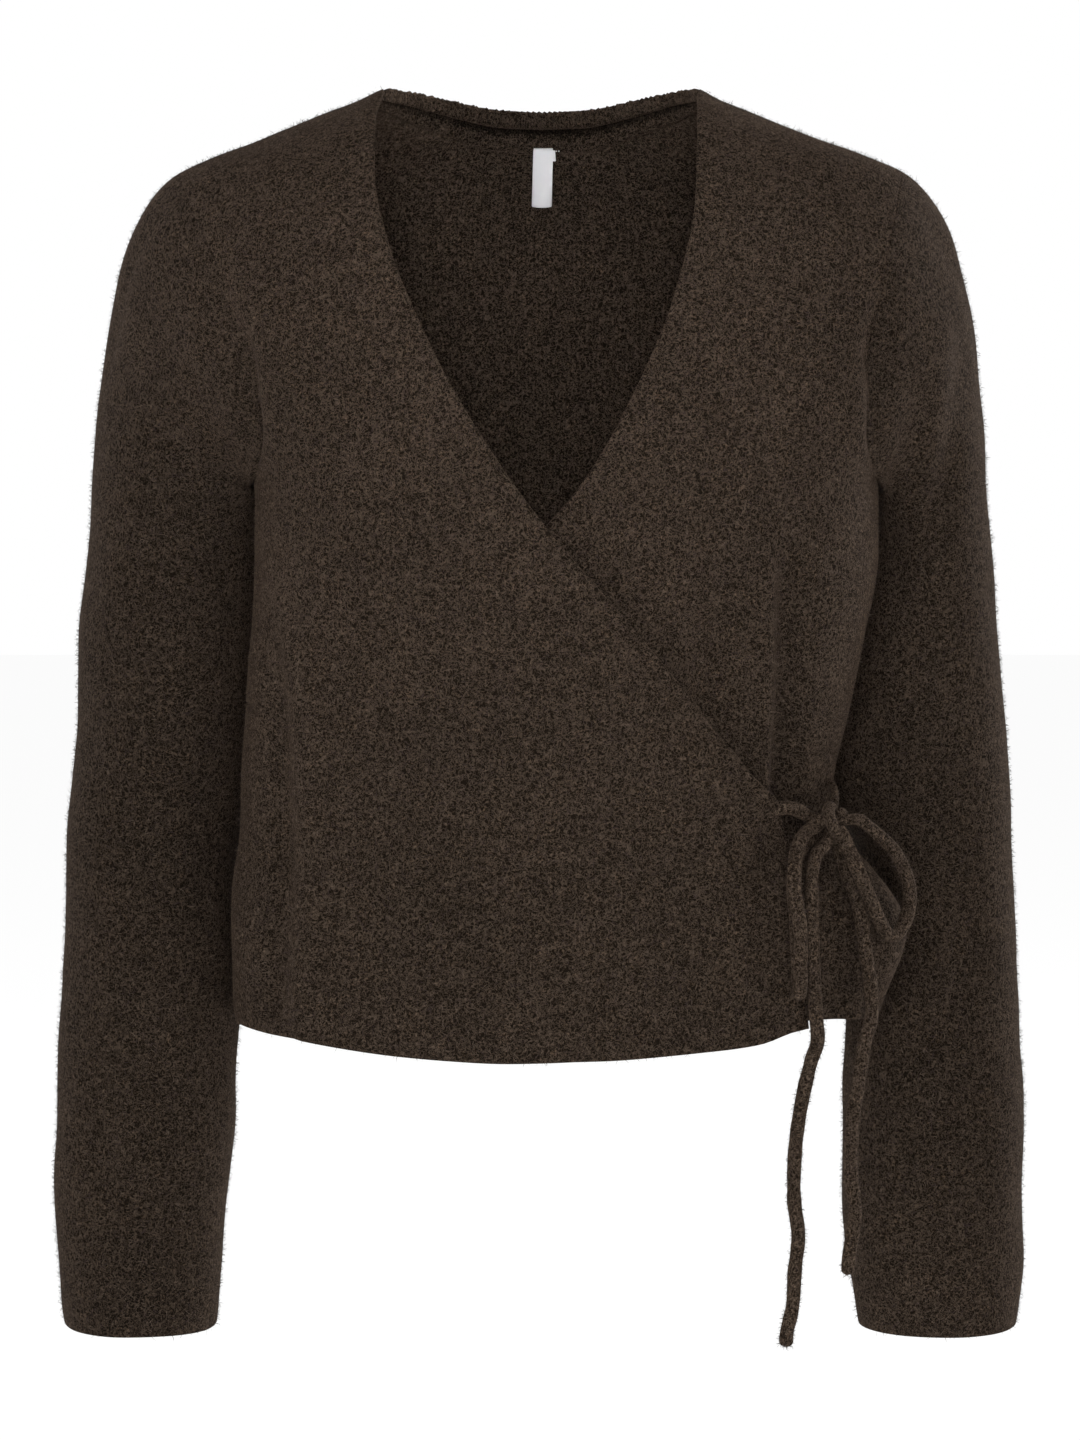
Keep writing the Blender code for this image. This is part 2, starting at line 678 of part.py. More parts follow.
def make_sleeve(name, sign, table, front_edge, back_edge):
    """A sleeve: each line along it leaves the armhole and bends down to the cuff."""
    rows = ARMHOLE_ROWS
    loop = [front_edge[i] for i in range(rows + 1)] + [back_edge[i] for i in range(rows - 1, 0, -1)]
    count = len(loop)
    start = [torso(turn, height) for turn, height in loop]
    seams = []
    cap_foot = table[0].height * MM
    grid = [[] for _ in range(SLEEVE_CAP_RINGS + SLEEVE_LOWER_RINGS + 1)]
    for k, (point, out) in enumerate(start):
        around = math.pi * k / rows
        along_edge = start[(k + 1) % count][0] - start[k - 1][0]
        onward = out.cross(along_edge).normalized() * sign
        seams.append(onward * SEAM_GAP)
        underside = math.sin(around / 2) ** 2
        away = Vector(UNDERARM_WAY)
        away.x *= sign
        leave = (onward * (1 - underside) + away * underside).normalized()
        end = sleeve_section(table, sign, cap_foot, around)
        below = sleeve_section(table, sign, cap_foot - CAP_HANG, around)
        length = (end - point).length
        first = point + leave * length * CAP_START
        second = end - (below - end).normalized() * length * CAP_END
        for ring in range(SLEEVE_CAP_RINGS):
            t = (ring / SLEEVE_CAP_RINGS) ** CAP_CROWDING
            s = 1 - t
            spot = (point * s ** 3 + first * 3 * s * s * t
                    + second * 3 * s * t * t + end * t ** 3)
            grid[ring].append(spot)
        for ring in range(SLEEVE_LOWER_RINGS + 1):
            height = cap_foot + (-SLEEVE_DROP - cap_foot) * ring / SLEEVE_LOWER_RINGS
            grid[SLEEVE_CAP_RINGS + ring].append(sleeve_section(table, sign, height, around))
    outer, inner = [], []
    for i, ring in enumerate(grid):
        middle = sum(ring, Vector()) / count
        outer_row, inner_row = [], []
        for k, point in enumerate(ring):
            above, under = grid[max(i - 1, 0)][k], grid[min(i + 1, len(grid) - 1)][k]
            out = (ring[(k + 1) % count] - ring[k - 1]).cross(under - above).normalized()
            if out.dot(point - middle) < 0:
                out = -out
            if i == 0:
                out = start[k][1]
                point = point + seams[k]
            face = "front" if out.y < 0 else "back"
            rise = fold_rise(point.x, point.z, face) * ease(abs(out.y) / FACING) if i > 1 else 0
            outer_row.append(point + out * rise)
            inner_row.append(point + out * (rise - WALL))
        outer.append(outer_row)
        inner.append(inner_row)
    if sign > 0:
        outer = [row[::-1] for row in outer]
        inner = [row[::-1] for row in inner]
    add_object(name, walled(outer, inner, closed=True))


def between(a, b, t):
    return tuple(p + (q - p) * t for p, q in zip(a, b))


def curve_through(route, count):
    """Evenly spaced points along a smooth curve through a route."""
    knots = [Vector(p) * MM for p in route]
    knots = [knots[0] * 2 - knots[1]] + knots + [knots[-1] * 2 - knots[-2]]
    fine = []
    for a, b, c, d in zip(knots, knots[1:], knots[2:], knots[3:]):
        for step in range(12):
            t = step / 12
            fine.append((b * 2 + (c - a) * t + (a * 2 - b * 5 + c * 4 - d) * t * t
                         + (b * 3 - a - c * 3 + d) * t ** 3) / 2)
    fine.append(knots[-2])
    reach = [0.0]
    for p, q in zip(fine, fine[1:]):
        reach.append(reach[-1] + (q - p).length)
    points = []
    for k in range(count):
        want = reach[-1] * k / (count - 1)
        i = min(len(fine) - 2, max(j for j in range(len(reach)) if reach[j] <= want + 1e-9))
        share = (want - reach[i]) / (reach[i + 1] - reach[i])
        points.append(fine[i].lerp(fine[i + 1], share))
    return points


def seated_on_knot(end, beside):
    """The end of a cord, moved along itself until its face just clears the knot."""
    away = (beside - end).normalized()
    radii = Vector((KNOT.wide, KNOT.deep, KNOT.tall)) * MM
    reach = math.sqrt(sum((r * n) ** 2 for r, n in zip(radii, away)))
    short = reach + SEAM_GAP - away.dot(end - Vector(KNOT[:3]) * MM)
    return end + away * short


def make_cord(cord):
    curve = bpy.data.curves.new(cord.name, "CURVE")
    curve.dimensions = "3D"
    curve.bevel_depth = CORD_DIAMETER / 2
    curve.bevel_resolution = 2
    curve.use_fill_caps = True
    points = curve_through(cord.route, cord.points)
    if cord.meets in ("start", "both"):
        points[0] = seated_on_knot(points[0], points[1])
    if cord.meets in ("end", "both"):
        points[-1] = seated_on_knot(points[-1], points[-2])
    spline = curve.splines.new("POLY")
    spline.points.add(len(points) - 1)
    for target, point in zip(spline.points, points):
        target.co = (*point, 1)
    curve.materials.append(material(cord.name + "_finish", KNIT, 0.9))
    bpy.context.collection.objects.link(bpy.data.objects.new(cord.name, curve))


def make_knot():
    ball = bmesh.new()
    bmesh.ops.create_uvsphere(ball, u_segments=14, v_segments=9, radius=1)
    for vertex in ball.verts:
        vertex.co = Vector((vertex.co.x * KNOT.wide, vertex.co.y * KNOT.deep,
                            vertex.co.z * KNOT.tall)) * MM
    bmesh.ops.translate(ball, verts=ball.verts[:], vec=Vector(KNOT[:3]) * MM)
    add_object("bow_knot", ball)


def make_tag(tag):
    """A strip that hangs on the inside of the back, made from the back's own points."""
    outer, inner = [], []
    for i in range(TAG_ROWS + 1):
        w = i / TAG_ROWS
        height = (tag.foot + (tag.top - tag.foot) * w) * MM
        middle = tag.middle + tag.tilt * (1 - w)
        outer_row, inner_row = [], []
        for across in (middle + tag.width / 2, middle, middle - tag.width / 2):
            point, out = torso(turn_at(across * MM, height, back=True), height)
            point = point - out * (WALL + TAG_CLEARANCE)
            outer_row.append(point)
            inner_row.append(point - out * tag.thick * MM)
        outer.append(outer_row)
        inner.append(inner_row)
    outer.reverse()
    inner.reverse()
    add_object(tag.name, walled(outer, inner), LABEL_WHITE, 0.6)


for old in list(bpy.data.objects):
    bpy.data.objects.remove(old, do_unlink=True)

right_edge = make_front("right_front", -1, OVER_EDGE, "over", no_lift)
left_edge = make_front("left_front", 1, UNDER_EDGE, "under", under_lift)
back_edges = make_back()
make_neck_band()
make_sleeve("right_sleeve", -1, SLEEVES["right"], right_edge, back_edges[-1])
make_sleeve("left_sleeve", 1, SLEEVES["left"], left_edge, back_edges[1])
make_knot()
for cord in CORDS:
    make_cord(cord)
for tag in TAGS:
    make_tag(tag)
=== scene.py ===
# Knitted wrap cardigan: the cloth, ties, label and nap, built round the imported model.
import math
import bpy
import numpy as np
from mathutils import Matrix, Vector


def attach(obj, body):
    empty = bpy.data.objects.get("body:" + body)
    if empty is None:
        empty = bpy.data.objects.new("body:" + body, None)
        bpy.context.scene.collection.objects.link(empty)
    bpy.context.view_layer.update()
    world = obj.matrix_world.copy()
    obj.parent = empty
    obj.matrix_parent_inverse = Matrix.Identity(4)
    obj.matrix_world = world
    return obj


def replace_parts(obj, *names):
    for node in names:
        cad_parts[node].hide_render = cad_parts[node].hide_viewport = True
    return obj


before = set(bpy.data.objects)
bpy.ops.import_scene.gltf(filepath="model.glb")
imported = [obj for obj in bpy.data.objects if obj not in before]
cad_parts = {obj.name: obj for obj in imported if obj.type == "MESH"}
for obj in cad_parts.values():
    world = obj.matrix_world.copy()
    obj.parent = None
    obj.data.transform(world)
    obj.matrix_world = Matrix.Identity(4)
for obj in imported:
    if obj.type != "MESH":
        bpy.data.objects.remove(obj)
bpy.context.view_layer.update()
mm = 0.001
quarterTurn = math.pi / 2
bpy.ops.object.select_all(action="DESELECT")
print("frame loaded")

# Camera: the photo's view, a little above the middle of the garment
cameraSet = {
    "aim": (-0.0019, 0.0, -0.344),
    "distance": 2.7,
    "elevation": 6.0,            # degrees
    "frameHeight": 0.792,        # metres seen from top to bottom at the aim
    "longSide": 36.0,
}
tilt = math.radians(cameraSet["elevation"])
away = cameraSet["distance"]
bpy.ops.object.camera_add(
    location=Vector(cameraSet["aim"]) + Vector((0, -math.cos(tilt), math.sin(tilt))) * away,
    rotation=(quarterTurn - tilt, 0, 0))
camera = bpy.context.object
camera.data.sensor_width = cameraSet["longSide"]
camera.data.lens = cameraSet["longSide"] * away / cameraSet["frameHeight"]
camera.data.clip_start = 0.1
camera.data.clip_end = 60
bpy.context.scene.camera = camera


# Shader maths. A Wire is a socket of a material, and sums on wires add Math nodes.
class Wire:
    def __init__(self, tree, socket=None):
        self.tree = tree
        self.socket = socket

    def node(self, kind, settings=None, sockets=None, out=0):
        made = self.tree.nodes.new(kind)
        for name, value in (settings or {}).items():
            if name == "stops":
                for k, (place, color) in enumerate(value):
                    stop = made.color_ramp.elements[k] if k < 2 else made.color_ramp.elements.new(place)
                    stop.position = place
                    stop.color = color
            else:
                setattr(made, name, value)
        for name, value in (sockets or {}).items():
            if isinstance(value, Wire):
                self.tree.links.new(value.socket, made.inputs[name])
            else:
                made.inputs[name].default_value = value
        return Wire(self.tree, made.outputs[out])

    def maths(self, operation, a, b=0.0):
        return self.node("ShaderNodeMath", {"operation": operation}, {0: a, 1: b})

    def __add__(self, other):
        return self.maths("ADD", self, other)

    def __radd__(self, other):
        return self.maths("ADD", other, self)

    def __sub__(self, other):
        return self.maths("SUBTRACT", self, other)

    def __rsub__(self, other):
        return self.maths("SUBTRACT", other, self)

    def __mul__(self, other):
        return self.maths("MULTIPLY", self, other)

    def __rmul__(self, other):
        return self.maths("MULTIPLY", other, self)

    def blend(self, a, b, mode="MIX"):
        # mixes two colours by this wire
        return self.node("ShaderNodeMix", {"data_type": "RGBA", "blend_type": mode},
                         {"Factor": self, 6: a, 7: b}, 2)


def newFinish(name, **sockets):
    # a material with its Principled shader's own sockets set
    made = bpy.data.materials.new(name)
    made.use_nodes = True
    shader = made.node_tree.nodes["Principled BSDF"]
    for socket, value in sockets.items():
        shader.inputs[socket.replace("_", " ")].default_value = value
    return made, shader, Wire(made.node_tree)


# The brushed, slightly felted knit. Colours are linear; sizes are in metres.
knitSet = {
    "dark": (0.0110, 0.0072, 0.0046, 1),
    "brown": (0.1330, 0.0890, 0.0580, 1),
    "plum": (0.0880, 0.0615, 0.0475, 1),
    "pale": (0.190, 0.138, 0.100, 1),
    "grain": 0.0015,
    "fibres": (0.0024, 0.0034),  # how far apart two sets of curled fibres lie
    "fibreShare": 0.045,
    "fibreBlend": 0.42,
    "patch": 0.015,              # warm and purplish patches, and smaller flecks
    "fleck": 0.0036,
    "drift": 0.09,               # slow change of shade over the garment
    "wale": 0.0016,              # between two columns of stitches
    "ground": (0.72, 0.53),      # where the grain turns from brushed knot to dark ground
    "bump": 0.0007,
}


def knitFinish(name, bright=1.0, wales=0.25, grainDepth=1.0):
    made, shader, wire = newFinish(name, Roughness=0.95, Specular_IOR_Level=0.06, Sheen_Weight=0.10,
                                   Sheen_Roughness=0.35, Sheen_Tint=(0.88, 0.60, 0.42, 1))
    place = wire.node("ShaderNodeTexCoord", out=3)
    flatPlace = wire.node("ShaderNodeUVMap", {"uv_map": "knit"})

    def noise(size, detail=2.0, rough=0.55, twist=0.0):
        return wire.node("ShaderNodeTexNoise", {"noise_dimensions": "3D"},
                         {"Vector": place, "Scale": 1 / size, "Detail": detail, "Roughness": rough,
                          "Distortion": twist})

    def between(value, low, high):
        return wire.node("ShaderNodeMapRange", None, {"Value": value, "From Min": low, "From Max": high})

    fibres = None                              # curled fibres: thin lines where a noise passes its middle
    for size in knitSet["fibres"]:
        off = wire.maths("ABSOLUTE", noise(size, 1.2, 0.5, 0.9) - 0.5)
        strand = between(off, knitSet["fibreShare"], 0.0)
        fibres = strand if fibres is None else wire.maths("MAXIMUM", fibres, strand)
    grain = noise(knitSet["grain"], 2.5, 0.7, 0.3)     # small brushed knots on the dark ground
    across = wire.node("ShaderNodeSeparateXYZ", None, {"Vector": flatPlace})
    column = wire.maths("SINE", (across + (grain - 0.5) * 0.0009) * (2 * math.pi / knitSet["wale"]))

    base = between(noise(knitSet["patch"], 2.0, 0.6), 0.40, 0.60).blend(knitSet["brown"], knitSet["plum"])
    fleck = between(noise(knitSet["fleck"], 1.0, 0.5), 0.40, 0.60)
    base = (fleck * 0.5).blend(base, knitSet["plum"])
    deep = between(grain, *knitSet["ground"])
    base = (deep * grainDepth).blend(base, knitSet["dark"])
    base = (fibres * (knitSet["fibreBlend"] * grainDepth)).blend(base, knitSet["pale"])
    shade = (noise(knitSet["drift"], 2.0, 0.5) - 0.5) * 0.45 + column * (0.12 * wales) + bright
    base = wire.node("ShaderNodeVectorMath", {"operation": "SCALE"}, {"Vector": base, "Scale": shade})
    made.node_tree.links.new(base.socket, shader.inputs["Base Color"])

    relief = grain * 0.9 + fibres * 0.5 + column * (0.25 * wales)
    bump = wire.node("ShaderNodeBump", None,
                     {"Strength": 0.75 * grainDepth, "Distance": knitSet["bump"], "Height": relief})
    made.node_tree.links.new(bump.socket, shader.inputs["Normal"])
    return made


clothFinish = knitFinish("brushedKnit", bright=0.86)
# the sleeves' copy of the knit, darker than the body's: painted shade
sleevePaintedShadeFinish = knitFinish("sleeveKnitPaintedShade", bright=0.76)
# the cloth's inside, a little brighter than its outside: painted light; its stronger wales are the knit's own
insidePaintedLightFinish = knitFinish("brushedKnitInsidePaintedLight", bright=0.90, wales=1.0)
bandFinish = knitFinish("neckBandKnit", bright=0.86, wales=0.6)
# a much darker copy of the band's knit: painted shade for the bottom of its trough
troughShadeFinish = knitFinish("neckBandTroughShade", bright=0.34, wales=0.6)
tieFinish = knitFinish("tieKnit", bright=1.18, wales=0.5)
print("finishes ready")

# Loose fibres take one of four plain colours
napColors = {
    "napMid": (0.040, 0.028, 0.019),
    "napPale": (0.110, 0.082, 0.062),
    "napDeep": (0.010, 0.0065, 0.0045),
    "napPlum": (0.044, 0.030, 0.029),
}
napShares = (0.50, 0.16, 0.20, 0.14)
napFinishes = []
for name, color in napColors.items():
    made, shader, wire = newFinish(name, Base_Color=(*color, 1), Roughness=0.9, Specular_IOR_Level=0.08)
    napFinishes.append(made)


# Tables of the garment, in millimetres
def readTable(columns, rows):
    # each named column as a smooth curve against the first one, that never overshoots
    names = columns.split()
    rows = sorted(rows)
    xs = np.array([row[0] for row in rows], float)
    steps = np.diff(xs)

    def curve(ys):
        slopes = np.diff(ys) / steps
        lean = np.zeros(len(xs))
        lean[0], lean[-1] = slopes[0], slopes[-1]
        for k in range(1, len(xs) - 1):
            if slopes[k - 1] * slopes[k] > 0:
                before, after = 2 * steps[k] + steps[k - 1], steps[k] + 2 * steps[k - 1]
                lean[k] = (before + after) / (before / slopes[k - 1] + after / slopes[k])

        def at(x):
            x = np.clip(x, xs[0], xs[-1])
            i = np.clip(np.searchsorted(xs, x, "right") - 1, 0, len(xs) - 2)
            t = (x - xs[i]) / steps[i]
            start = (1 + 2 * t) * (1 - t) ** 2 * ys[i] + t * t * (3 - 2 * t) * ys[i + 1]
            return start + (t * (1 - t) ** 2 * lean[i] - t * t * (1 - t) * lean[i + 1]) * steps[i]
        return at

    return {name: curve(np.array([row[k + 1] for row in rows], float)) for k, name in enumerate(names[1:])}


body = readTable("height left right front back widest fullness", [
    (12, 58, 56, 30, 46, 2, 2.0),
    (0, 87, 85, 40, 52, 2, 2.0),
    (-6, 100, 97, 46, 55, 2, 2.0),
    (-14, 121, 118, 53, 59, 2, 2.0),
    (-27, 155, 151, 62, 65, 2, 2.0),
    (-45, 197, 194, 71, 73, 2, 2.0),
    (-54, 208, 206, 76, 77, 2, 2.0),
    (-75, 218, 222, 85, 84, 1, 2.0),
    (-107, 217, 230, 95, 91, 0, 2.0),
    (-130, 207, 225, 101, 95, -1, 2.1),
    (-168, 186, 211, 109, 98, -3, 2.2),
    (-213, 158, 182, 114, 99, -8, 2.3),
    (-250, 157, 182, 115, 97, -14, 2.3),
    (-297, 160, 174, 111, 93, -18, 2.3),
    (-335, 162, 166, 106, 90, -20, 2.3),
    (-375, 165, 158, 101, 88, -22, 2.3),
    (-396, 166, 158, 99, 88, -24, 2.2),
    (-420, 168, 179, 100, 89, -28, 2.1),
    (-456, 170, 198, 103, 91, -32, 2.1),
    (-490, 170, 188, 106, 94, -28, 2.2),
    (-520, 168, 180, 108, 97, -24, 2.3),
])
armhole = readTable("height front back", [
    (-45, 1.0, 1.0), (-52, 0.94, 0.95), (-64, 0.88, 0.905), (-80, 0.83, 0.87), (-107, 0.79, 0.84),
    (-130, 0.79, 0.84), (-168, 0.85, 0.88), (-192, 0.92, 0.935), (-206, 0.975, 0.98), (-213, 1.0, 1.0),
])
overEdge = readTable("height across", [
    (0, -87), (-17, -91.5), (-44, -91.3), (-80, -84), (-125, -66), (-174, -39.5), (-232, 1), (-268, 32),
    (-311, 68), (-365, 111), (-383, 124.5), (-396, 127.5), (-440, 131.5), (-501, 141),
])
underEdge = readTable("height across", [
    (0, 85), (-20, 84), (-37, 83.5), (-61, 82), (-108, 71), (-156, 51), (-210, 20), (-232, 1),
    (-268, -32), (-311, -68), (-365, -111), (-383, -122), (-396, -126), (-440, -131), (-517, -138),
])
backNeck = readTable("share seam top", [
    (0, -33.7, -12.9), (0.25, -33.2, -11.8), (0.38, -30, -10.4), (0.54, -24.5, -7.4), (0.66, -20.5, -5.0),
    (0.77, -16, -3.0), (0.87, -11, -1.4), (1, -5, 0),
])
hem = readTable("across over under back", [
    (-170, -505, -507, -506), (-130, -507, -509.5, -508), (-76, -512, -514, -511), (-20, -515, -516.5, -512),
    (30, -514.5, -515, -512), (84, -511, -511, -511), (116, -508, -505, -508), (141, -501, -498.5, -505),
    (190, -500, -501, -501),
])
sleeveForm = {
    -1: readTable("height outer inner front back", [
        (-262, 254, 154, -16, 86), (-300, 257, 156, -18, 84), (-340, 259, 160, -18, 82),
        (-380, 262, 163, -18, 80), (-420, 265, 167, -18, 78), (-460, 267, 169, -18, 76),
        (-500, 269, 170, -18, 74), (-557, 272, 172, -18, 72), (-596, 273, 176, -17, 71),
        (-636, 273, 179, -16, 70), (-676, 271.5, 182.5, -15, 69), (-688, 270, 184, -14, 68),
    ]),
    1: readTable("height outer inner front back", [
        (-262, 249.5, 175.5, -10, 90), (-300, 252.5, 167, -10, 88), (-340, 256, 157, -10, 86),
        (-380, 259, 151, -9, 86), (-420, 261.5, 174, -7, 88), (-456, 264, 179, -5, 89),
        (-490, 266, 175, -6, 87), (-530, 267.5, 169, -10, 82), (-557, 269, 168, -13, 78),
        (-596, 269, 169, -15, 74), (-636, 269, 170, -15, 71), (-676, 267, 176, -15, 69),
        (-688, 265.5, 178, -14, 68),
    ]),
}

# Folds: face, where each starts and ends (across, height), its bow to one side, its width
# and how far it rises, all in millimetres. The first fourteen are those of the solids.
folds = [
    ("front", -150, -265, -146, -500, 7, 7, -5.6),
    ("front", -136, -280, -131, -500, 8, 8, 3.4),
    ("front", 116, -205, 120, -385, 1, 7, 5.5),
    ("front", 131, -228, 133, -388, 1, 7, -9.5),
    ("front", 90, -205, 92, -350, 0, 15, -6.5),
    ("front", 160, -402, 172, -512, 3, 7, 3.0),
    ("front", 176, -415, 184, -505, 2, 5, -2.6),
    ("back", -105, -330, -100, -500, 4, 13, -3.0),
    ("back", 112, -330, 122, -505, -4, 13, -3.5),
    ("back", 22, -360, 30, -508, -3, 16, -2.0),
    ("front", 211, -112, 201, -235, 7, 9, 3.5),
    ("front", 226, -120, 211, -240, 6, 9, -3.2),
    ("back", 214, -330, 206, -470, 5, 12, -3.0),
    ("back", -206, -300, -216, -450, -5, 12, -3.0),
]


def ease(t):
    t = np.clip(t, 0, 1)
    return t * t * (3 - 2 * t)


def foldRise(x, z, back):
    # how far the folds move the cloth outwards
    total = np.zeros(np.shape(x))
    for face, topX, topZ, footX, footZ, bow, width, rise in folds:
        t = (z / mm - topZ) / (footZ - topZ)
        middle = topX + (footX - topX) * t + bow * 4 * t * (1 - t)
        aside = (x / mm - middle) / width
        share = np.exp(-aside * aside) * ease(t / 0.3) * ease((1.35 - t) / 0.35)
        total += np.where((t > 0) & (t < 1) & (back == (face == "back")), rise * share, 0)
    return total * mm


def halfWidth(side, z):
    return np.where(np.asarray(side) > 0, body["right"](z / mm), body["left"](z / mm)) * mm


def turnAt(across, z, back):
    # the turn round the body, from the centre front, of a place at this distance across
    power = body["fullness"](z / mm)
    share = np.minimum(1, np.abs(across) / halfWidth(across, z))
    depth = (1 - share ** power) ** (1 / power)
    turn = np.arctan2(share, -depth if back else depth)
    return np.where(across > 0, turn, 2 * math.pi - turn if back else -turn)


def bareTorso(turn, z):
    sine, cosine = np.sin(turn), np.cos(turn)
    power = body["fullness"](z / mm)
    reach = (np.abs(sine) ** power + np.abs(cosine) ** power) ** (-1 / power)
    widest = body["widest"](z / mm)
    depth = np.where(cosine > 0, body["front"](z / mm) + widest, body["back"](z / mm) - widest)
    return np.stack([halfWidth(sine, z) * reach * sine, (widest - depth * reach * cosine) * mm, z], -1)


def unit(v):
    return v / np.maximum(np.linalg.norm(v, axis=-1, keepdims=True), 1e-12)


def torso(turn, z, lift=0.0):
    # a point of the cloth's outside and the way out of it
    across = bareTorso(turn + 0.012, z) - bareTorso(turn - 0.012, z)
    upwards = bareTorso(turn, z + 0.0015) - bareTorso(turn, z - 0.0015)
    out = unit(np.cross(across, upwards))
    point = bareTorso(turn, z)
    rise = foldRise(point[..., 0], point[..., 2], np.cos(turn) <= 0) * ease(np.abs(out[..., 1]) / 0.55)
    return point + out * (lift + rise)[..., None], out


# Where the sleeves meet the body and the fronts cross, in metres
seamSet = {
    "frontDepth": 0.0085, "backDepth": 0.0038,     # how deep the armhole seams lie
    "start": 0.070, "fade": 0.08,                  # they begin this far below the neck point
    "aboveUnderarm": 0.006, "underarmFade": 0.030,
    "frontWide": 0.0075, "backWide": 0.0060, "sleeveWide": 0.017,
    "wrapSunk": 0.0080,                            # the under front lies this far behind the edge over it
    "wrapRise": 0.0028, "wrapWide": 0.008,         # and that edge stands up a little
}

# The body's grid: where its seams run
shoulderTip, underarm, bandEnd, hemSide = -0.045, -0.213, -0.005, 0.17
armRows, sideRows = 10, 13


def armHeight(i):
    t = i / armRows
    return shoulderTip + (underarm - shoulderTip) * (0.5 * t + 0.25 * (1 - np.cos(math.pi * t)))


def sideEdge(sign, rows, back):
    # turns and heights down the armhole and the side seam
    foot = hem["back"](sign * hemSide / mm) * mm
    i = np.linspace(0, armRows + sideRows, rows)
    z = np.where(i <= armRows, armHeight(np.minimum(i, armRows)),
                 underarm + (foot - underarm) * (i - armRows) / sideRows)
    share = armhole["back" if back else "front"](z / mm)
    turn = turnAt(sign * share * halfWidth(sign, z), z, back)
    widest = quarterTurn * sign if not back or sign > 0 else 2 * math.pi - quarterTurn
    return np.where(i >= armRows, widest, turn), z, foot


def uneven(points, size=1.0):
    # slow unevenness of a soft knit, the same for pieces that meet
    waves = np.random.default_rng(11)
    total = np.zeros(points.shape[:-1])
    for k in range(16):
        way = waves.normal(size=3)
        way /= np.linalg.norm(way)
        length = 0.024 + 0.075 * waves.random()
        total += np.sin(points @ way * (2 * math.pi / length) + waves.random() * 7) * length
    return total * 0.0035 * size


def seamSink(z, back):
    # how far the armhole seam lies sunk between body and sleeve
    depth = seamSet["backDepth"] if back else seamSet["frontDepth"]
    return (depth * ease((-z - seamSet["start"]) / seamSet["fade"])
            * ease((z - underarm - seamSet["aboveUnderarm"]) / seamSet["underarmFade"]))


def frontGrid(sign, edge, hemLine, rows, columns):
    sideTurn, sideZ, foot = (x if np.ndim(x) else float(x) for x in sideEdge(sign, rows, False))
    top = sideZ[0]
    v = ((sideZ - top) / (foot - top))[:, None]
    edgeFoot = -0.501 if sign < 0 else -0.517
    edgeZ = edgeFoot * v
    edgeTurn = turnAt(edge["across"](edgeZ / mm) * mm, edgeZ, False)
    edgeTurn[0] = sign * quarterTurn
    u = np.linspace(0, 1, columns)[None, :]
    turn = sideTurn[:, None] + (edgeTurn - sideTurn[:, None]) * u
    z = sideZ[:, None] + (edgeZ - sideZ[:, None]) * u
    straight = foot + (edgeFoot - foot) * u
    shift = hem[hemLine](bareTorso(turn, z)[..., 0] / mm) * mm - straight
    z = z + np.where(u > 0, shift * ease((v - 0.6) / 0.4), 0)
    lift = np.zeros(turn.shape)
    if sign > 0:                               # the under front sinks behind the over front
        wrapTurn = turnAt(overEdge["across"](z / mm) * mm, z, False)
        lift = -seamSet["wrapSunk"] * (1 - ease((turn - wrapTurn) / (quarterTurn - wrapTurn) / 0.8))
    point, out = torso(turn, z, lift)
    if sign < 0:                               # the over front's edge stands up a little
        toEdge = np.linalg.norm(np.diff(point[:, ::-1], axis=1, prepend=point[:, -1:]), axis=-1)
        toEdge = np.cumsum(toEdge, axis=1)[:, ::-1]
        rise = seamSet["wrapRise"] * np.exp(-(toEdge / seamSet["wrapWide"]) ** 2)
        point = point + out * (rise * ease((-z - 0.13) / 0.06))[..., None]
    apart = np.cumsum(np.linalg.norm(np.diff(point, axis=1, prepend=point[:, :1]), axis=-1), axis=1)
    sink = seamSink(sideZ, False)[:, None] * np.exp(-(apart / seamSet["frontWide"]) ** 2)
    return point - out * sink[..., None], out, turn * 0.15, z


def backGrid(rows, columns):
    edges = {sign: sideEdge(sign, rows, True) for sign in (-1, 1)}
    z, foot = edges[1][1], float(edges[1][2])
    v = (z - z[0]) / (foot - z[0])
    stopZ = bandEnd + (foot - bandEnd) * v
    stops = {}
    for sign in (-1, 1):
        across = halfWidth(sign, bandEnd) * (1 - 0.14 * ease(v / 0.2))
        turn = turnAt(sign * across, stopZ, True)
        turn[0] = quarterTurn if sign > 0 else 3 * quarterTurn
        stops[sign] = (turn, across)
    j = np.linspace(0, 22, columns)
    turns, heights = np.zeros((rows, columns)), np.zeros((rows, columns))
    for c, place in enumerate(j):
        if place <= 5 or place >= 17:
            sign = 1 if place <= 5 else -1
            t = place / 5 if sign > 0 else (22 - place) / 5
            sideTurn, sideZ = edges[sign][0], edges[sign][1]
            turns[:, c] = sideTurn + (stops[sign][0] - sideTurn) * t
            heights[:, c] = sideZ + (stopZ - sideZ) * t
            continue
        share = 1 - 2 * (place - 5) / 12
        sign = 1 if share > 0 else -1
        dip = (backNeck["seam"](abs(share)) * mm - bandEnd) * (1 - v) ** 5
        turns[:, c] = turnAt(share * stops[sign][1], stopZ + dip, True)
        heights[:, c] = stopZ + dip
    shift = hem["back"](bareTorso(turns, heights)[..., 0] / mm) * mm - foot
    heights = heights + shift * ease((v[:, None] - 0.6) / 0.4)
    point, out = torso(turns, heights)
    for way in (1, -1):
        steps = np.linalg.norm(np.diff(point[:, ::way], axis=1, prepend=point[:, ::way][:, :1]), axis=-1)
        apart = np.cumsum(steps, axis=1)
        sink = seamSink(edges[way][1], True)[:, None] * np.exp(-(apart / seamSet["backWide"]) ** 2)
        point = point - out * sink[:, ::way, None]
    return point, out, turns * 0.15, heights


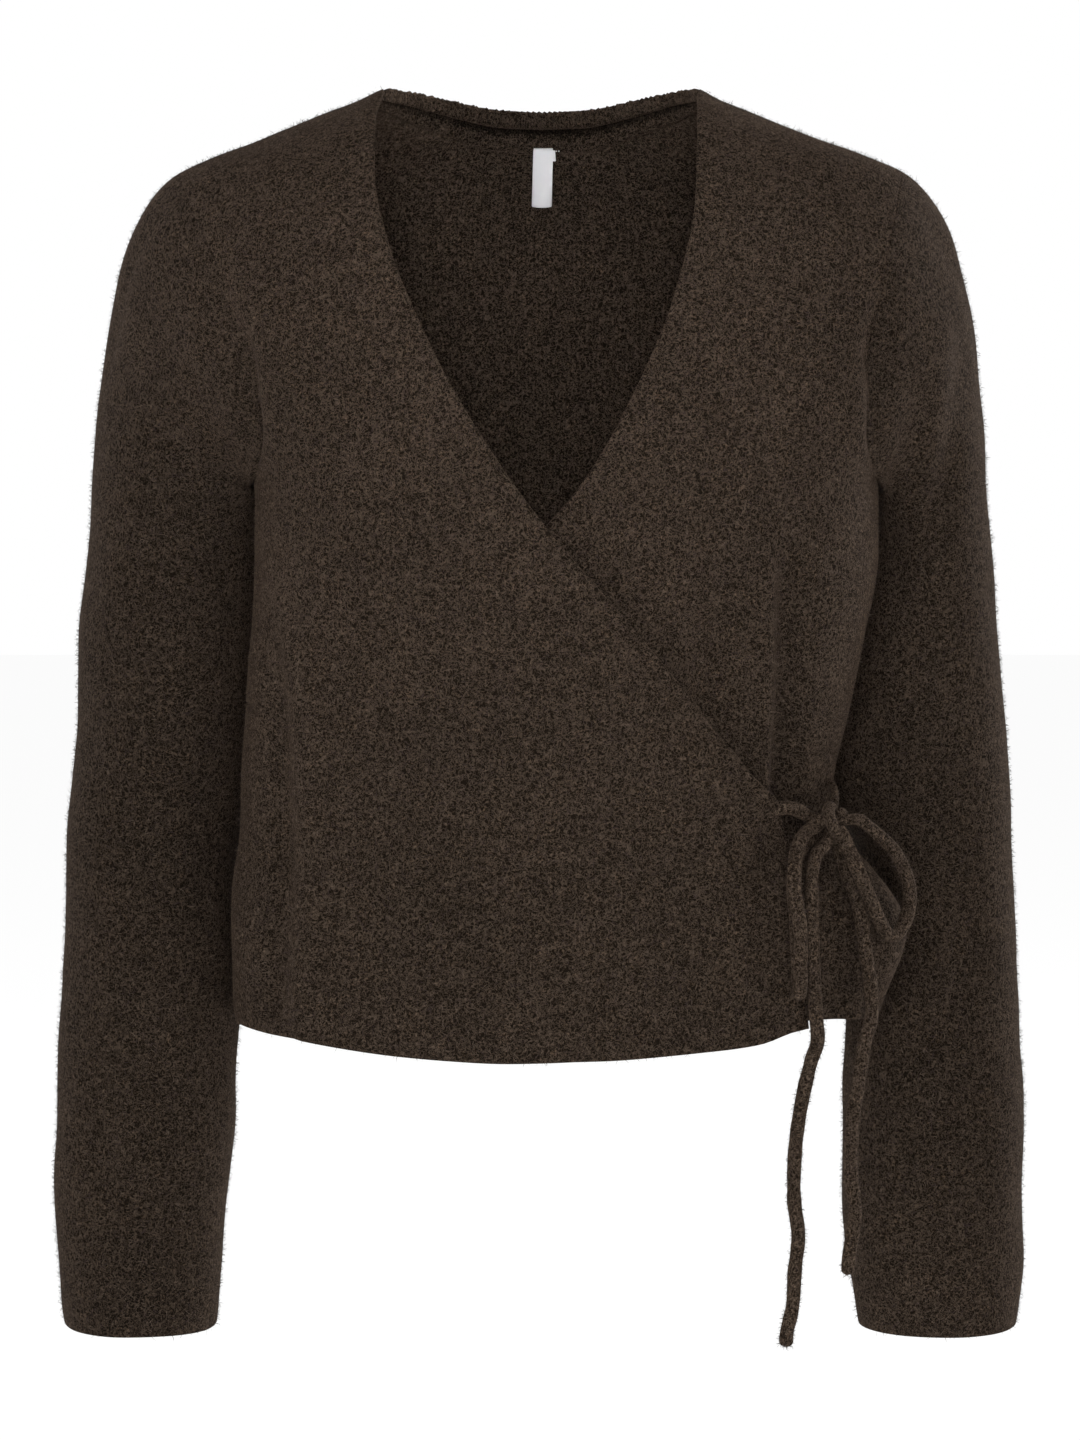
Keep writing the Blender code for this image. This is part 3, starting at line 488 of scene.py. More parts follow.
def sleeveGrid(sign, capRings, lowRings, columns):
    form = sleeveForm[sign]
    around = 2 * math.pi * np.arange(columns) / columns
    k = around / math.pi * armRows
    isBack = k > armRows
    i = np.where(isBack, 2 * armRows - k, k)
    z = armHeight(i)
    turn = np.where(isBack, turnAt(sign * armhole["back"](z / mm) * halfWidth(sign, z), z, True),
                    turnAt(sign * armhole["front"](z / mm) * halfWidth(sign, z), z, False))
    start, out = torso(turn, z)
    onward = unit(np.cross(out, np.roll(start, -1, 0) - np.roll(start, 1, 0))) * sign
    under = (np.sin(around / 2) ** 2)[:, None]
    leave = unit(onward * (1 - under) + np.array((sign * 0.68, 0.48, -0.58)) * under)

    def section(height):
        sine, cosine = np.sin(around), np.cos(around)
        reach = (np.abs(sine) ** 2.2 + np.abs(cosine) ** 2.2) ** (-1 / 2.2)
        outer, inner, front, back = (form[c](height / mm) for c in ("outer", "inner", "front", "back"))
        x = (outer + inner) / 2 + (outer - inner) / 2 * reach * cosine
        y = (front + back) / 2 + (front - back) / 2 * reach * sine
        return np.stack([sign * x * mm, y * mm, np.full(columns, height)], -1)

    capFoot, cuff = -0.262, -0.686
    end, below = section(capFoot), section(capFoot - 0.02)
    length = np.linalg.norm(end - start, axis=-1, keepdims=True)
    first = start + leave * length * 0.22
    second = end - unit(below - end) * length * 0.5
    rings = []
    for ring in range(capRings):
        t = (ring / capRings) ** 1.3
        s = 1 - t
        rings.append(start * s ** 3 + first * 3 * s * s * t + second * 3 * s * t * t + end * t ** 3)
    rings += [section(capFoot + (cuff - capFoot) * ring / lowRings) for ring in range(lowRings + 1)]
    grid = np.array(rings)
    along = np.gradient(grid, axis=0)
    round_ = np.roll(grid, -1, 1) - np.roll(grid, 1, 1)
    normal = unit(np.cross(round_, along))
    middle = grid.mean(1, keepdims=True)
    normal = np.where(((normal * (grid - middle)).sum(-1) < 0)[..., None], -normal, normal)
    normal[0] = out
    fade = ease((np.arange(len(grid)) - 0.5) / 6)[:, None]
    apart = np.cumsum(np.linalg.norm(np.diff(grid, axis=0, prepend=grid[:1]), axis=-1), axis=0)
    deepest = np.where(isBack, seamSink(z, True), seamSink(z, False))
    sink = deepest * np.exp(-(apart / seamSet["sleeveWide"]) ** 2)
    grid = grid - normal * sink[..., None]
    rise = foldRise(grid[..., 0], grid[..., 2], normal[..., 1] >= 0)
    grid = grid + normal * (rise * ease(np.abs(normal[..., 1]) / 0.55) * fade)[..., None]
    run = np.concatenate([[0], np.cumsum(np.linalg.norm(np.diff(grid.mean(1), axis=0), axis=-1))])
    rounds, lengths = around * 0.048, -run[:, None]    # where it lies on the knit map
    return grid, normal, np.broadcast_to(rounds, grid.shape[:2]), np.broadcast_to(lengths, grid.shape[:2])


def meshOf(name, points, faces, uvs=None, finishes=(), faceFinish=None):
    # a smooth mesh with a knit map, at the origin, riding on the one body
    mesh = bpy.data.meshes.new(name)
    mesh.vertices.add(len(points))
    mesh.vertices.foreach_set("co", np.asarray(points, np.float32).ravel())
    faces = [np.asarray(f, np.int32) for f in faces if len(f)]
    loops = np.concatenate([f.ravel() for f in faces])
    sizes = np.concatenate([np.full(len(f), f.shape[1]) for f in faces])
    mesh.loops.add(len(loops))
    mesh.loops.foreach_set("vertex_index", loops)
    mesh.polygons.add(len(sizes))
    mesh.polygons.foreach_set("loop_start", np.concatenate([[0], np.cumsum(sizes)[:-1]]).astype(np.int32))
    mesh.polygons.foreach_set("loop_total", sizes.astype(np.int32))
    mesh.polygons.foreach_set("use_smooth", np.ones(len(sizes), bool))
    if faceFinish is not None:
        mesh.polygons.foreach_set("material_index", np.asarray(faceFinish, np.int32))
    mesh.update(calc_edges=True)
    if uvs is not None:
        layer = mesh.uv_layers.new(name="knit")
        layer.data.foreach_set("uv", np.asarray(uvs, np.float32)[loops].ravel())
    for finish in finishes:
        mesh.materials.append(finish)
    mesh.validate()
    piece = bpy.data.objects.new(name, mesh)
    bpy.context.collection.objects.link(piece)
    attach(piece, "root")
    return piece


def oriented(points, faces, outwards):
    # the same faces, wound so that they look along outwards
    way = np.cross(points[faces[:, 1]] - points[faces[:, 0]], points[faces[:, 3]] - points[faces[:, 0]])
    return faces if (way * outwards).sum() > 0 else faces[:, ::-1]


def shell(name, grid, finishes, thick=0.0025, ring=False, rounded=(), wavy=1.0, innerFinish=None):
    # A closed thin wall: the grid is the cloth's outside, thick is one number or one a point,
    # and the borders named in rounded end in a soft roll instead of a flat edge.
    point, out, u, v = grid
    point = point + out * uneven(point, wavy)[..., None]
    inner = point - out * np.broadcast_to(thick, point.shape[:2])[..., None]
    rows, columns = point.shape[:2]
    total = rows * columns
    index = np.arange(total).reshape(rows, columns)
    a, b = index[:-1], index[1:]
    if ring:
        quads = np.stack([a, b, np.roll(b, -1, 1), np.roll(a, -1, 1)], -1).reshape(-1, 4)
    else:
        quads = np.stack([a[:, :-1], b[:, :-1], b[:, 1:], a[:, 1:]], -1).reshape(-1, 4)
    points = [point.reshape(-1, 3), inner.reshape(-1, 3)]
    flat = np.stack([u, v], -1).reshape(-1, 2)
    uvs = [flat, flat]
    quads = oriented(points[0], quads, out.reshape(-1, 3)[quads[:, 0]])
    faces = [quads, quads[:, ::-1] + total]
    inside = np.ones(len(quads), int) if innerFinish is None else innerFinish.ravel()
    finish = [np.zeros(len(quads), int), inside]
    if ring:
        borders = [(index[0], ["top"] * columns), (index[-1], ["foot"] * columns)]
    else:
        around = np.concatenate([index[0, :-1], index[:-1, -1], index[-1, :0:-1], index[:0:-1, 0]])
        borders = [(around, ["top"] * (columns - 1) + ["last"] * (rows - 1)
                    + ["foot"] * (columns - 1) + ["first"] * (rows - 1))]
    count = 2 * total
    for loop, names in borders:
        mid, half = (points[0][loop] + points[1][loop]) / 2, (points[0][loop] - points[1][loop]) / 2
        side = unit(np.cross(np.roll(mid, -1, 0) - np.roll(mid, 1, 0), half))
        i, j = loop // columns, loop % columns
        beside = np.clip(i, 1, rows - 2), (j if ring else np.clip(j, 1, columns - 2))
        outwards = mid - (point[beside] + inner[beside]) / 2
        side = side * np.sign((side * outwards).sum(-1, keepdims=True))
        names = np.array(names)
        isRound = np.isin(names, rounded) & np.isin(np.roll(names, 1), rounded)
        bulge = np.where(isRound, 1.0, 0.05)[:, None] * np.linalg.norm(half, axis=-1, keepdims=True)
        lines = [loop]
        for degrees in (60, 30, 0, -30, -60):
            turn = math.radians(degrees)
            points.append(mid + half * math.sin(turn) + side * bulge * math.cos(turn))
            uvs.append(flat[loop] + (0, 0.0005))
            lines.append(count + np.arange(len(loop)))
            count += len(loop)
        lines.append(loop + total)
        known = np.concatenate(points)
        for upper, lower in zip(lines, lines[1:]):
            strip = np.stack([upper, np.roll(upper, -1), np.roll(lower, -1), lower], -1)
            faces.append(oriented(known, strip, side))
            finish.append(np.zeros(len(loop), int))
    piece = meshOf(name, np.concatenate(points), faces, np.concatenate(uvs), finishes, np.concatenate(finish))
    return piece, {"point": point, "out": out, "ring": ring}


grids = {
    "back": backGrid(112, 96),
    "rightFront": frontGrid(-1, overEdge, "over", 112, 78),
    "leftFront": frontGrid(1, underEdge, "under", 112, 78),
    "rightSleeve": sleeveGrid(-1, 34, 92, 64),
    "leftSleeve": sleeveGrid(1, 34, 92, 64),
}
cloth = {
    "backCloth": {"grid": "back", "node": "back", "rounded": ("foot",), "flat": (0.45, 0.51), "area": 0.215},
    "rightFrontCloth": {"grid": "rightFront", "node": "right_front", "rounded": ("foot", "last"),
                        "flat": (0.40, 0.52), "area": 0.113},
    "leftFrontCloth": {"grid": "leftFront", "node": "left_front", "rounded": ("foot", "last"),
                       "flat": (0.40, 0.52), "area": 0.118},
    "rightSleeveCloth": {"grid": "rightSleeve", "node": "right_sleeve", "rounded": ("foot",),
                         "flat": (0.40, 0.62), "area": 0.172},
    "leftSleeveCloth": {"grid": "leftSleeve", "node": "left_sleeve", "rounded": ("foot",),
                        "flat": (0.40, 0.62), "area": 0.161},
}
surfaces, clothPieces = {}, {}
for name, item in cloth.items():
    isSleeve = "Sleeve" in name
    # the sleeves' outsides take the copy with painted shade; every inside takes the copy with painted light
    outside = sleevePaintedShadeFinish if isSleeve else clothFinish
    piece, surfaces[name] = shell(name, grids[item["grid"]], (outside, insidePaintedLightFinish), ring=isSleeve,
                                  rounded=item["rounded"])
    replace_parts(piece, item["node"])
    clothPieces[name] = piece
print("fronts, back and sleeves ready")


# The folded band inside the back neck: a plump bumpy roll above, a trough, a flatter lower rib
bandSet = {
    "rows": 26, "columns": 340,
    "thick": 0.0044,
    "rollRise": 0.0030, "lowRise": -0.0002,
    "rollFrom": 0.64, "lowTo": 0.50,       # shares of the band's height, from its seam up
    "trough": 0.0042, "troughAt": 0.60, "troughWide": 0.13, "troughWiden": 0.12,
    # where the painted trough shade lies, as shares of the band's height, with an uneven border
    "troughShadeAt": 0.57, "troughShadeHalf": 0.115, "troughShadeWiden": 0.075, "troughShadeUneven": 0.06,
    "footThin": 0.0022, "footShare": 0.16,
    "bump": 0.0034,              # metres between the knit's bumps along the roll
    "bumpRise": 0.0009,
}
w = np.linspace(1, 0, bandSet["rows"])[:, None]
share = np.linspace(1, -1, bandSet["columns"])[None, :]
seamZ = backNeck["seam"](np.abs(share)) * mm
rimZ = backNeck["top"](np.abs(share)) * mm


def neckTurn(z, height):
    turn = turnAt(share * halfWidth(share, height), z, True)
    turn[:, 0], turn[:, -1] = quarterTurn, 3 * quarterTurn
    return turn


seamTurn, rimTurn = neckTurn(seamZ, bandEnd), neckTurn(rimZ, 0.0)
turn, z = seamTurn + (rimTurn - seamTurn) * w, seamZ + (rimZ - seamZ) * w
point, out = torso(turn, z)
run = np.cumsum(np.linalg.norm(np.diff(point[-1], axis=0, prepend=point[-1][:1]), axis=-1))[None, :]
bumps = np.sin(run * 2 * math.pi / bandSet["bump"])
z = z + bandSet["bumpRise"] * bumps * ease((w - 0.7) / 0.3)
point, out = torso(turn, z)
roll = np.clip((w - bandSet["rollFrom"]) / (1 - bandSet["rollFrom"]), 0, 1)
lower = np.clip(w / bandSet["lowTo"], 0, 1)
troughWide = bandSet["troughWide"] + bandSet["troughWiden"] * share ** 2
thick = bandSet["thick"] + bandSet["rollRise"] * np.sin(math.pi * roll) ** 0.6
thick = thick + bandSet["lowRise"] * np.sin(math.pi * lower)
thick = thick - bandSet["trough"] * np.exp(-((w - bandSet["troughAt"]) / troughWide) ** 2)
thick = thick - bandSet["footThin"] * ease((bandSet["footShare"] - w) / bandSet["footShare"])
thick = thick + bandSet["bumpRise"] * bumps * np.sin(math.pi * roll)
thick = np.broadcast_to(thick, z.shape)
spread = bandSet["troughShadeUneven"]
troughShadeHalf = bandSet["troughShadeHalf"] + bandSet["troughShadeWiden"] * share[:, 1:] ** 2
troughShadeHalf = troughShadeHalf + np.random.default_rng(5).uniform(-spread, spread, (len(w) - 1, share.shape[1] - 1))
inTroughShade = np.abs(w[1:] - bandSet["troughShadeAt"]) < troughShadeHalf      # painted shade: a darker strip along the trough's bottom
band, _ = shell("neckBand", (point, out, np.broadcast_to(run, z.shape), z),
                (bandFinish, bandFinish, troughShadeFinish), thick=thick, rounded=("top",), wavy=0.0,
                innerFinish=np.where(inTroughShade, 2, 1))
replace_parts(band, "back_neck_band")
print("neck band ready")


# Ties. Each route follows its solid, in millimetres; knotStart and knotEnd lead it into the knot.
# The front loop's foot is rounder than the solid's, and the side lead lies closer to the cloth.
tieWide = 0.0076
pinchLong = 0.022                # over this length a strand fills out from where it is pinched
ties = {
    "frontTieLead": {"node": "front_tie_lead", "knotStart": [(121, -77, -384)],
                     "knotEnd": [(147.5, -69.5, -391), (153, -71, -391.5)], "route": [
        (125.8, -79.6, -383), (131, -78.6, -383), (136.5, -73.5, -385), (142.3, -67, -389.2)]},
    "frontTieLoop": {"node": "front_tie_loop", "knotStart": [(152.5, -72.5, -388.5)],
                     "knotEnd": [(152, -66, -396)], "route": [
        (145.2, -74.2, -393.6), (139.8, -81, -396.5), (135.5, -88.5, -403.5), (133.6, -95, -412),
        (133.4, -99.5, -424.5), (135.6, -103, -438.5), (136.6, -104.5, -451), (136.5, -104.5, -464),
        (136.4, -107, -471.5), (136.3, -104.8, -477.2), (136.2, -99, -479.8), (136.1, -93.2, -477.2),
        (136, -91, -471.5), (135.7, -91, -463), (135.2, -90.8, -453), (134.4, -89.2, -438.5),
        (133.4, -86.4, -425), (134.2, -81.5, -413), (138.5, -74.2, -405), (145, -66.5, -400.2)]},
    "frontTieEnd": {"node": "front_tie_end", "startWide": 0.84, "knotStart": [(154.5, -71.5, -394)], "route": [
        (152, -73, -402.4), (146.6, -75.5, -408), (144, -79.5, -417), (143.4, -83.5, -429),
        (143.6, -87.2, -445), (144, -88.6, -460.6), (144.6, -88.6, -476), (146, -88, -495),
        (146.8, -87.5, -508), (143.4, -87, -519), (139.2, -87, -537.5), (136.2, -87, -556.5),
        (134.7, -87, -575.5), (134.8, -87, -595), (137.1, -87, -614), (135.3, -87, -633),
        (134.3, -87, -652), (131.2, -87, -667), (130.9, -87, -675)]},
    "sideTieLead": {"node": "side_tie_lead", "startWide": 0.4, "endWide": 0.7,
                    "knotStart": [(152.5, -40, -372)], "knotEnd": [(155, -67, -388.5)], "route": [
        (154.8, -41.7, -373.4), (156.6, -43.6, -374.5), (157.4, -47.5, -377), (157.2, -53, -380.5),
        (156.6, -58.5, -384.8)]},
    "sideTieLoop": {"node": "side_tie_loop", "startWide": 0.72, "endWide": 1.12,
                    "knotStart": [(156.5, -71.5, -391)], "knotEnd": [(157, -73, -393.5)], "route": [
        (168.4, -68.6, -390.4), (175, -67, -394.6), (182, -65, -401), (189, -62.5, -408.5),
        (194.2, -60.5, -418), (197.4, -59, -428), (197.6, -58.5, -438), (194.8, -60.5, -448),
        (190, -64.5, -454), (184.6, -69.5, -452), (180, -73.5, -443.6), (175, -76, -432),
        (169.8, -77, -420), (165, -76.6, -409), (161.6, -75, -401.6)]},
    "sideTieEnd": {"node": "side_tie_end", "startWide": 0.8, "knotStart": [(156, -66, -396)], "route": [
        (158, -64.5, -403), (159.6, -65, -410), (163, -68, -420), (167.4, -71.8, -431.5),
        (170.2, -75, -442.5), (171.6, -77, -452), (173.6, -77.5, -466), (176.2, -77, -483),
        (176.4, -76.5, -497), (173, -76, -509.5), (171.2, -76, -521), (169.4, -76, -534),
        (166.6, -76, -553), (166, -76, -582), (168.3, -76, -604), (165.7, -76, -623.5),
        (164.2, -76, -638)]},
}


def smoothRoute(route, step=0.0012):
    # even points along a smooth curve through a route
    p = np.array(route, float) * mm
    p = np.concatenate([[p[0] * 2 - p[1]], p, [p[-1] * 2 - p[-2]]])
    t = np.linspace(0, 1, 24, endpoint=False)[:, None]
    fine = [(b * 2 + (c - a) * t + (a * 2 - b * 5 + c * 4 - d) * t * t + (b * 3 - a - c * 3 + d) * t ** 3) / 2
            for a, b, c, d in zip(p, p[1:], p[2:], p[3:])]
    fine = np.concatenate(fine + [p[-2:-1]])
    reach = np.concatenate([[0], np.cumsum(np.linalg.norm(np.diff(fine, axis=0), axis=-1))])
    want = np.linspace(0, reach[-1], max(3, int(reach[-1] / step) + 1))
    return np.stack([np.interp(want, reach, fine[:, k]) for k in range(3)], -1), reach[-1]


def tube(name, line, wide, finish, sides=16, lumpy=0.00022, seed=3, startWide=1.0, endWide=1.0):
    # a soft knitted tie along a line: a little lumpy, its ends rounded over
    count = len(line)
    along = unit(np.gradient(line, axis=0))
    across = np.zeros(line.shape)
    across[0] = unit(np.cross(along[0], (0.2, 0.9, 0.35)))
    for k in range(1, count):
        across[k] = unit(across[k - 1] - along[k] * (across[k - 1] @ along[k]))
    other = np.cross(along, across)
    luck = np.random.default_rng(seed)
    run = np.arange(count) * np.linalg.norm(line[1] - line[0])
    lumps = [np.sin(run * 2 * math.pi / length + luck.random() * 7) for length in (0.013, 0.021, 0.034)]
    swell = sum(lumps) / 3
    turns = 2 * math.pi * np.arange(sides) / sides
    slim = 1 - (1 - startWide) * np.exp(-run / pinchLong)
    slim = slim - (1 - endWide) * np.exp(-(run[-1] - run) / pinchLong)
    radius = (wide / 2 * slim + lumpy * swell)[:, None] * np.ones(sides)
    # the two ends draw in over their last half diameter
    lead = np.minimum(run, run[-1] - run)
    taper = np.sqrt(np.clip(1 - (1 - np.clip(lead / (wide * 0.45), 0, 1)) ** 2, 0, 1))
    radius = radius * np.maximum(taper, 0.02)[:, None]
    ring = line[:, None] + radius[..., None] * (across[:, None] * np.cos(turns)[:, None]
                                               + other[:, None] * np.sin(turns)[:, None])
    points = np.concatenate([ring.reshape(-1, 3), line[:1], line[-1:]])
    index = np.arange(count * sides).reshape(count, sides)
    a, b = index[:-1], index[1:]
    quads = np.stack([a, np.roll(a, -1, 1), np.roll(b, -1, 1), b], -1).reshape(-1, 4)
    outwards = (ring - line[:, None]).reshape(-1, 3)[quads[:, 0]]
    quads = oriented(points, quads, outwards)
    flips = (quads[0] != np.array([index[0, 0], index[0, 1], index[1, 1], index[1, 0]])).any()
    startCap = np.stack([index[0], np.roll(index[0], -1), np.full(sides, count * sides)], -1)
    endCap = np.stack([np.roll(index[-1], -1), index[-1], np.full(sides, count * sides + 1)], -1)
    if not flips:
        startCap, endCap = startCap[:, ::-1], endCap[:, ::-1]
    flat = np.stack(np.broadcast_arrays(turns * wide / 2, run[:, None]), -1).reshape(-1, 2)
    piece = meshOf(name, points, [quads, startCap, endCap], np.concatenate([flat, [(0, 0)] * 2]), (finish,))
    return piece, {"point": ring, "out": unit(ring - line[:, None]), "ring": True}


tiePieces, tieLines, tieLengths = {}, {}, {}
for k, (name, item) in enumerate(ties.items()):
    route = item.get("knotStart", []) + item["route"] + item.get("knotEnd", [])
    tieLines[name], tieLengths[name] = smoothRoute(route)
    tiePieces[name], surfaces[name] = tube(name, tieLines[name], tieWide, tieFinish, seed=k,
                                           startWide=item.get("startWide", 1), endWide=item.get("endWide", 1))
    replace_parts(tiePieces[name], item["node"])

# The knot: two short turns of the same tie drawn tight over each other
knotTurns = {
    "knotWrap": [(156.5, -62, -387), (153.6, -69, -384), (152.6, -75.4, -386.4), (154, -78.6, -391),
                 (156.2, -76.8, -396), (157.6, -71, -399)],
    "knotBack": [(158.5, -73, -387), (160, -66, -388), (156.5, -60, -391), (152, -61.5, -395.5),
                 (150.5, -68, -397)],
}
for k, (name, route) in enumerate(knotTurns.items()):
    line, _ = smoothRoute(route, 0.001)
    tiePieces[name], surfaces[name] = tube(name, line, tieWide * 0.9, tieFinish, seed=20 + k)
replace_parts(tiePieces["knotWrap"], "bow_knot")


print("ties ready:", {name: round(length, 3) for name, length in tieLengths.items()})


# The woven loop label and the small tab: a folded white strip, left bare
labelSet = {
    "cloth": 0.0006,
    # in millimetres: middle across, width, top, foot, lean, depth of the fold, how far it stands off
    "label": (-0.1, 10.6, -28.6, -59.8, -0.8, 1.3, 4.5),
    "tab": (4.7, 3.2, -29.8, -35.4, 0.4, 0.6, 0.2),
    "clear": 0.0056,             # from the cloth's outside to the label's back
    "stitches": (7.2, 8.7), "stitchHeight": -30.4, "stitchClear": 0.0053, "thread": 0.0009,
    "weft": 0.00042, "warp": 0.00034,
}


def tape(name, middle, width, top, foot, lean, gap, bent):
    # a strip that hangs from the neck band: down in front, round its fold and up behind
    rows, columns = 44, 12
    s = np.linspace(0, 1, rows)[:, None]
    length = (top - foot) * mm
    radius = gap / 2 * mm
    drop = s * (2 * length + math.pi * radius)
    inFront = drop < length
    inBack = drop > length + math.pi * radius
    bendTurn = np.clip((drop - length) / radius, 0, math.pi)
    roundFold = length + radius * np.sin(bendTurn)
    down = np.where(inFront, drop, np.where(inBack, 2 * length + math.pi * radius - drop, roundFold))
    depth = np.where(inFront, 2 * radius, np.where(inBack, 0, radius * (1 + np.cos(bendTurn))))
    z = top * mm - down
    share = np.linspace(-1, 1, columns)[None, :]
    x = (middle + lean * down / length) * mm + share * width / 2 * mm
    surfacePoint, outwards = torso(turnAt(x, np.broadcast_to(z, x.shape), True), np.broadcast_to(z, x.shape))
    flare = bent * mm * ease(down / length) * (1 - 0.35 * share ** 2) * np.where(inBack, 0.5, 1.0)
    point = surfacePoint - outwards * (labelSet["clear"] + depth + flare)[..., None]
    run = np.broadcast_to(drop, x.shape)
    alongStrip = np.gradient(point, axis=0)
    facing = unit(np.cross(np.gradient(point, axis=1), alongStrip))
    if (facing[0] * outwards[0]).sum() > 0:
        facing = -facing
    piece, _ = shell(name, (point, facing, x, run), (labelFinish, labelFinish), thick=labelSet["cloth"],
                     rounded=("first", "last"), wavy=0.0)
    return piece


labelFinish, shader, wire = newFinish("whiteTape", Roughness=0.62, Specular_IOR_Level=0.35, Sheen_Weight=0.15)
place = wire.node("ShaderNodeUVMap", {"uv_map": "knit"})
spot = wire.node("ShaderNodeSeparateXYZ", None, {"Vector": place})
spotY = wire.node("ShaderNodeSeparateXYZ", None, {"Vector": place}, 1)
weft = wire.maths("SINE", spotY * (2 * math.pi / labelSet["weft"]))
warp = wire.maths("SINE", spot * (2 * math.pi / labelSet["warp"]))
weave = weft * 0.5 + warp * 0.5 + weft * warp * 0.5
tone = wire.node("ShaderNodeTexNoise", None,
                 {"Vector": wire.node("ShaderNodeTexCoord", out=3), "Scale": 260, "Detail": 2})
white = (tone * 0.5 + weave * 0.06 + 0.15).blend((0.93, 0.93, 0.94, 1), (0.86, 0.86, 0.88, 1))
labelFinish.node_tree.links.new(white.socket, shader.inputs["Base Color"])
bump = wire.node("ShaderNodeBump", None, {"Strength": 0.5, "Distance": 0.00012, "Height": weave})
labelFinish.node_tree.links.new(bump.socket, shader.inputs["Normal"])
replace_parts(tape("neckLabel", *labelSet["label"]), "neck_label")
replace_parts(tape("sizeTab", *labelSet["tab"]), "size_tab")
for k, across in enumerate(labelSet["stitches"]):  # the ends of its white sewing thread
    x = (across + np.array((-0.5, 0, 0.5))) * mm
    z = (labelSet["stitchHeight"] + np.array((0.25, 0, -0.25))) * mm
    spotPoint, spotOut = torso(turnAt(x, z, True), z)
    line = spotPoint - spotOut * labelSet["stitchClear"]
    stitch, _ = tube("labelStitch%d" % (k + 1), line, labelSet["thread"], labelFinish, sides=8, lumpy=0)
print("label ready")


# Nap: short loose fibres that stand off the knit and catch the light
napSet = {
    "long": 0.0042, "wide": 0.00021,
    "uneven": (0.45, 1.35), "rise": (6, 46),       # of each fibre's length, and degrees off the cloth
    "panelCount": 240000, "quickCount": 60000,     # fibres on a square metre
    "tieCount": 2.2, "tieLong": 0.7,               # on the ties, against the panels
    "seed": 29,
}


def napOn(name, surface, perSquareMetre, long=1.0):
    point, out = surface["point"], surface["out"]
    luck = np.random.default_rng(napSet["seed"] + len(name) * 7 + sum(map(ord, name)))
    rows, columns = point.shape[:2]
    nextColumn = np.roll(np.arange(columns), -1)
    last = columns if surface["ring"] else columns - 1
    a, b = point[:-1, :last], point[1:, :last]
    c, d = point[:-1][:, nextColumn[:last]], point[1:][:, nextColumn[:last]]
    size = np.linalg.norm(np.cross(b - a, c - a), axis=-1)
    count = int(size.sum() * perSquareMetre)
    pick = luck.choice(size.size, count, p=(size / size.sum()).ravel())
    i, j = pick // last, pick % last
    s, t = luck.random(count)[:, None], luck.random(count)[:, None]
    root = (a[i, j] * (1 - s) + b[i, j] * s) * (1 - t) + (c[i, j] * (1 - s) + d[i, j] * s) * t
    normal = unit(out[i, j] + out[i + 1, nextColumn[j]])
    tangent = unit(np.cross(normal, luck.normal(size=(count, 3))))
    rise = np.radians(luck.uniform(*napSet["rise"], count))[:, None]
    length = napSet["long"] * long * luck.uniform(*napSet["uneven"], count)[:, None]
    way = tangent * np.cos(rise) + normal * np.sin(rise)
    curl = unit(np.cross(way, normal)) * luck.normal(0, 0.35, count)[:, None]
    curl = curl - normal * luck.uniform(0.1, 0.5, count)[:, None]
    middle = root + way * length * 0.5
    tip = root + (way + curl * 0.55) * length
    side = unit(np.cross(way, normal)) * napSet["wide"] / 2 * luck.uniform(0.7, 1.4, count)[:, None]
    root = root - normal * 0.0002
    points = np.stack([root - side, root + side, middle + side * 0.75, middle - side * 0.75, tip], 1)
    base = np.arange(count)[:, None] * 5
    quads = base + np.array([0, 1, 2, 3])
    tips = base + np.array([3, 2, 4])
    colors = luck.choice(len(napShares), count, p=napShares)
    nap = meshOf(name, points.reshape(-1, 3), [quads, tips], None, napFinishes,
                 np.concatenate([colors, colors]))
    return nap


density = napSet["panelCount"]
clothNap = {name: napOn(name.replace("Cloth", "Nap"), surfaces[name], density) for name in cloth}
for name in (*ties, *knotTurns):
    napOn(name + "Nap", surfaces[name], density * napSet["tieCount"], long=napSet["tieLong"])

print("nap ready")

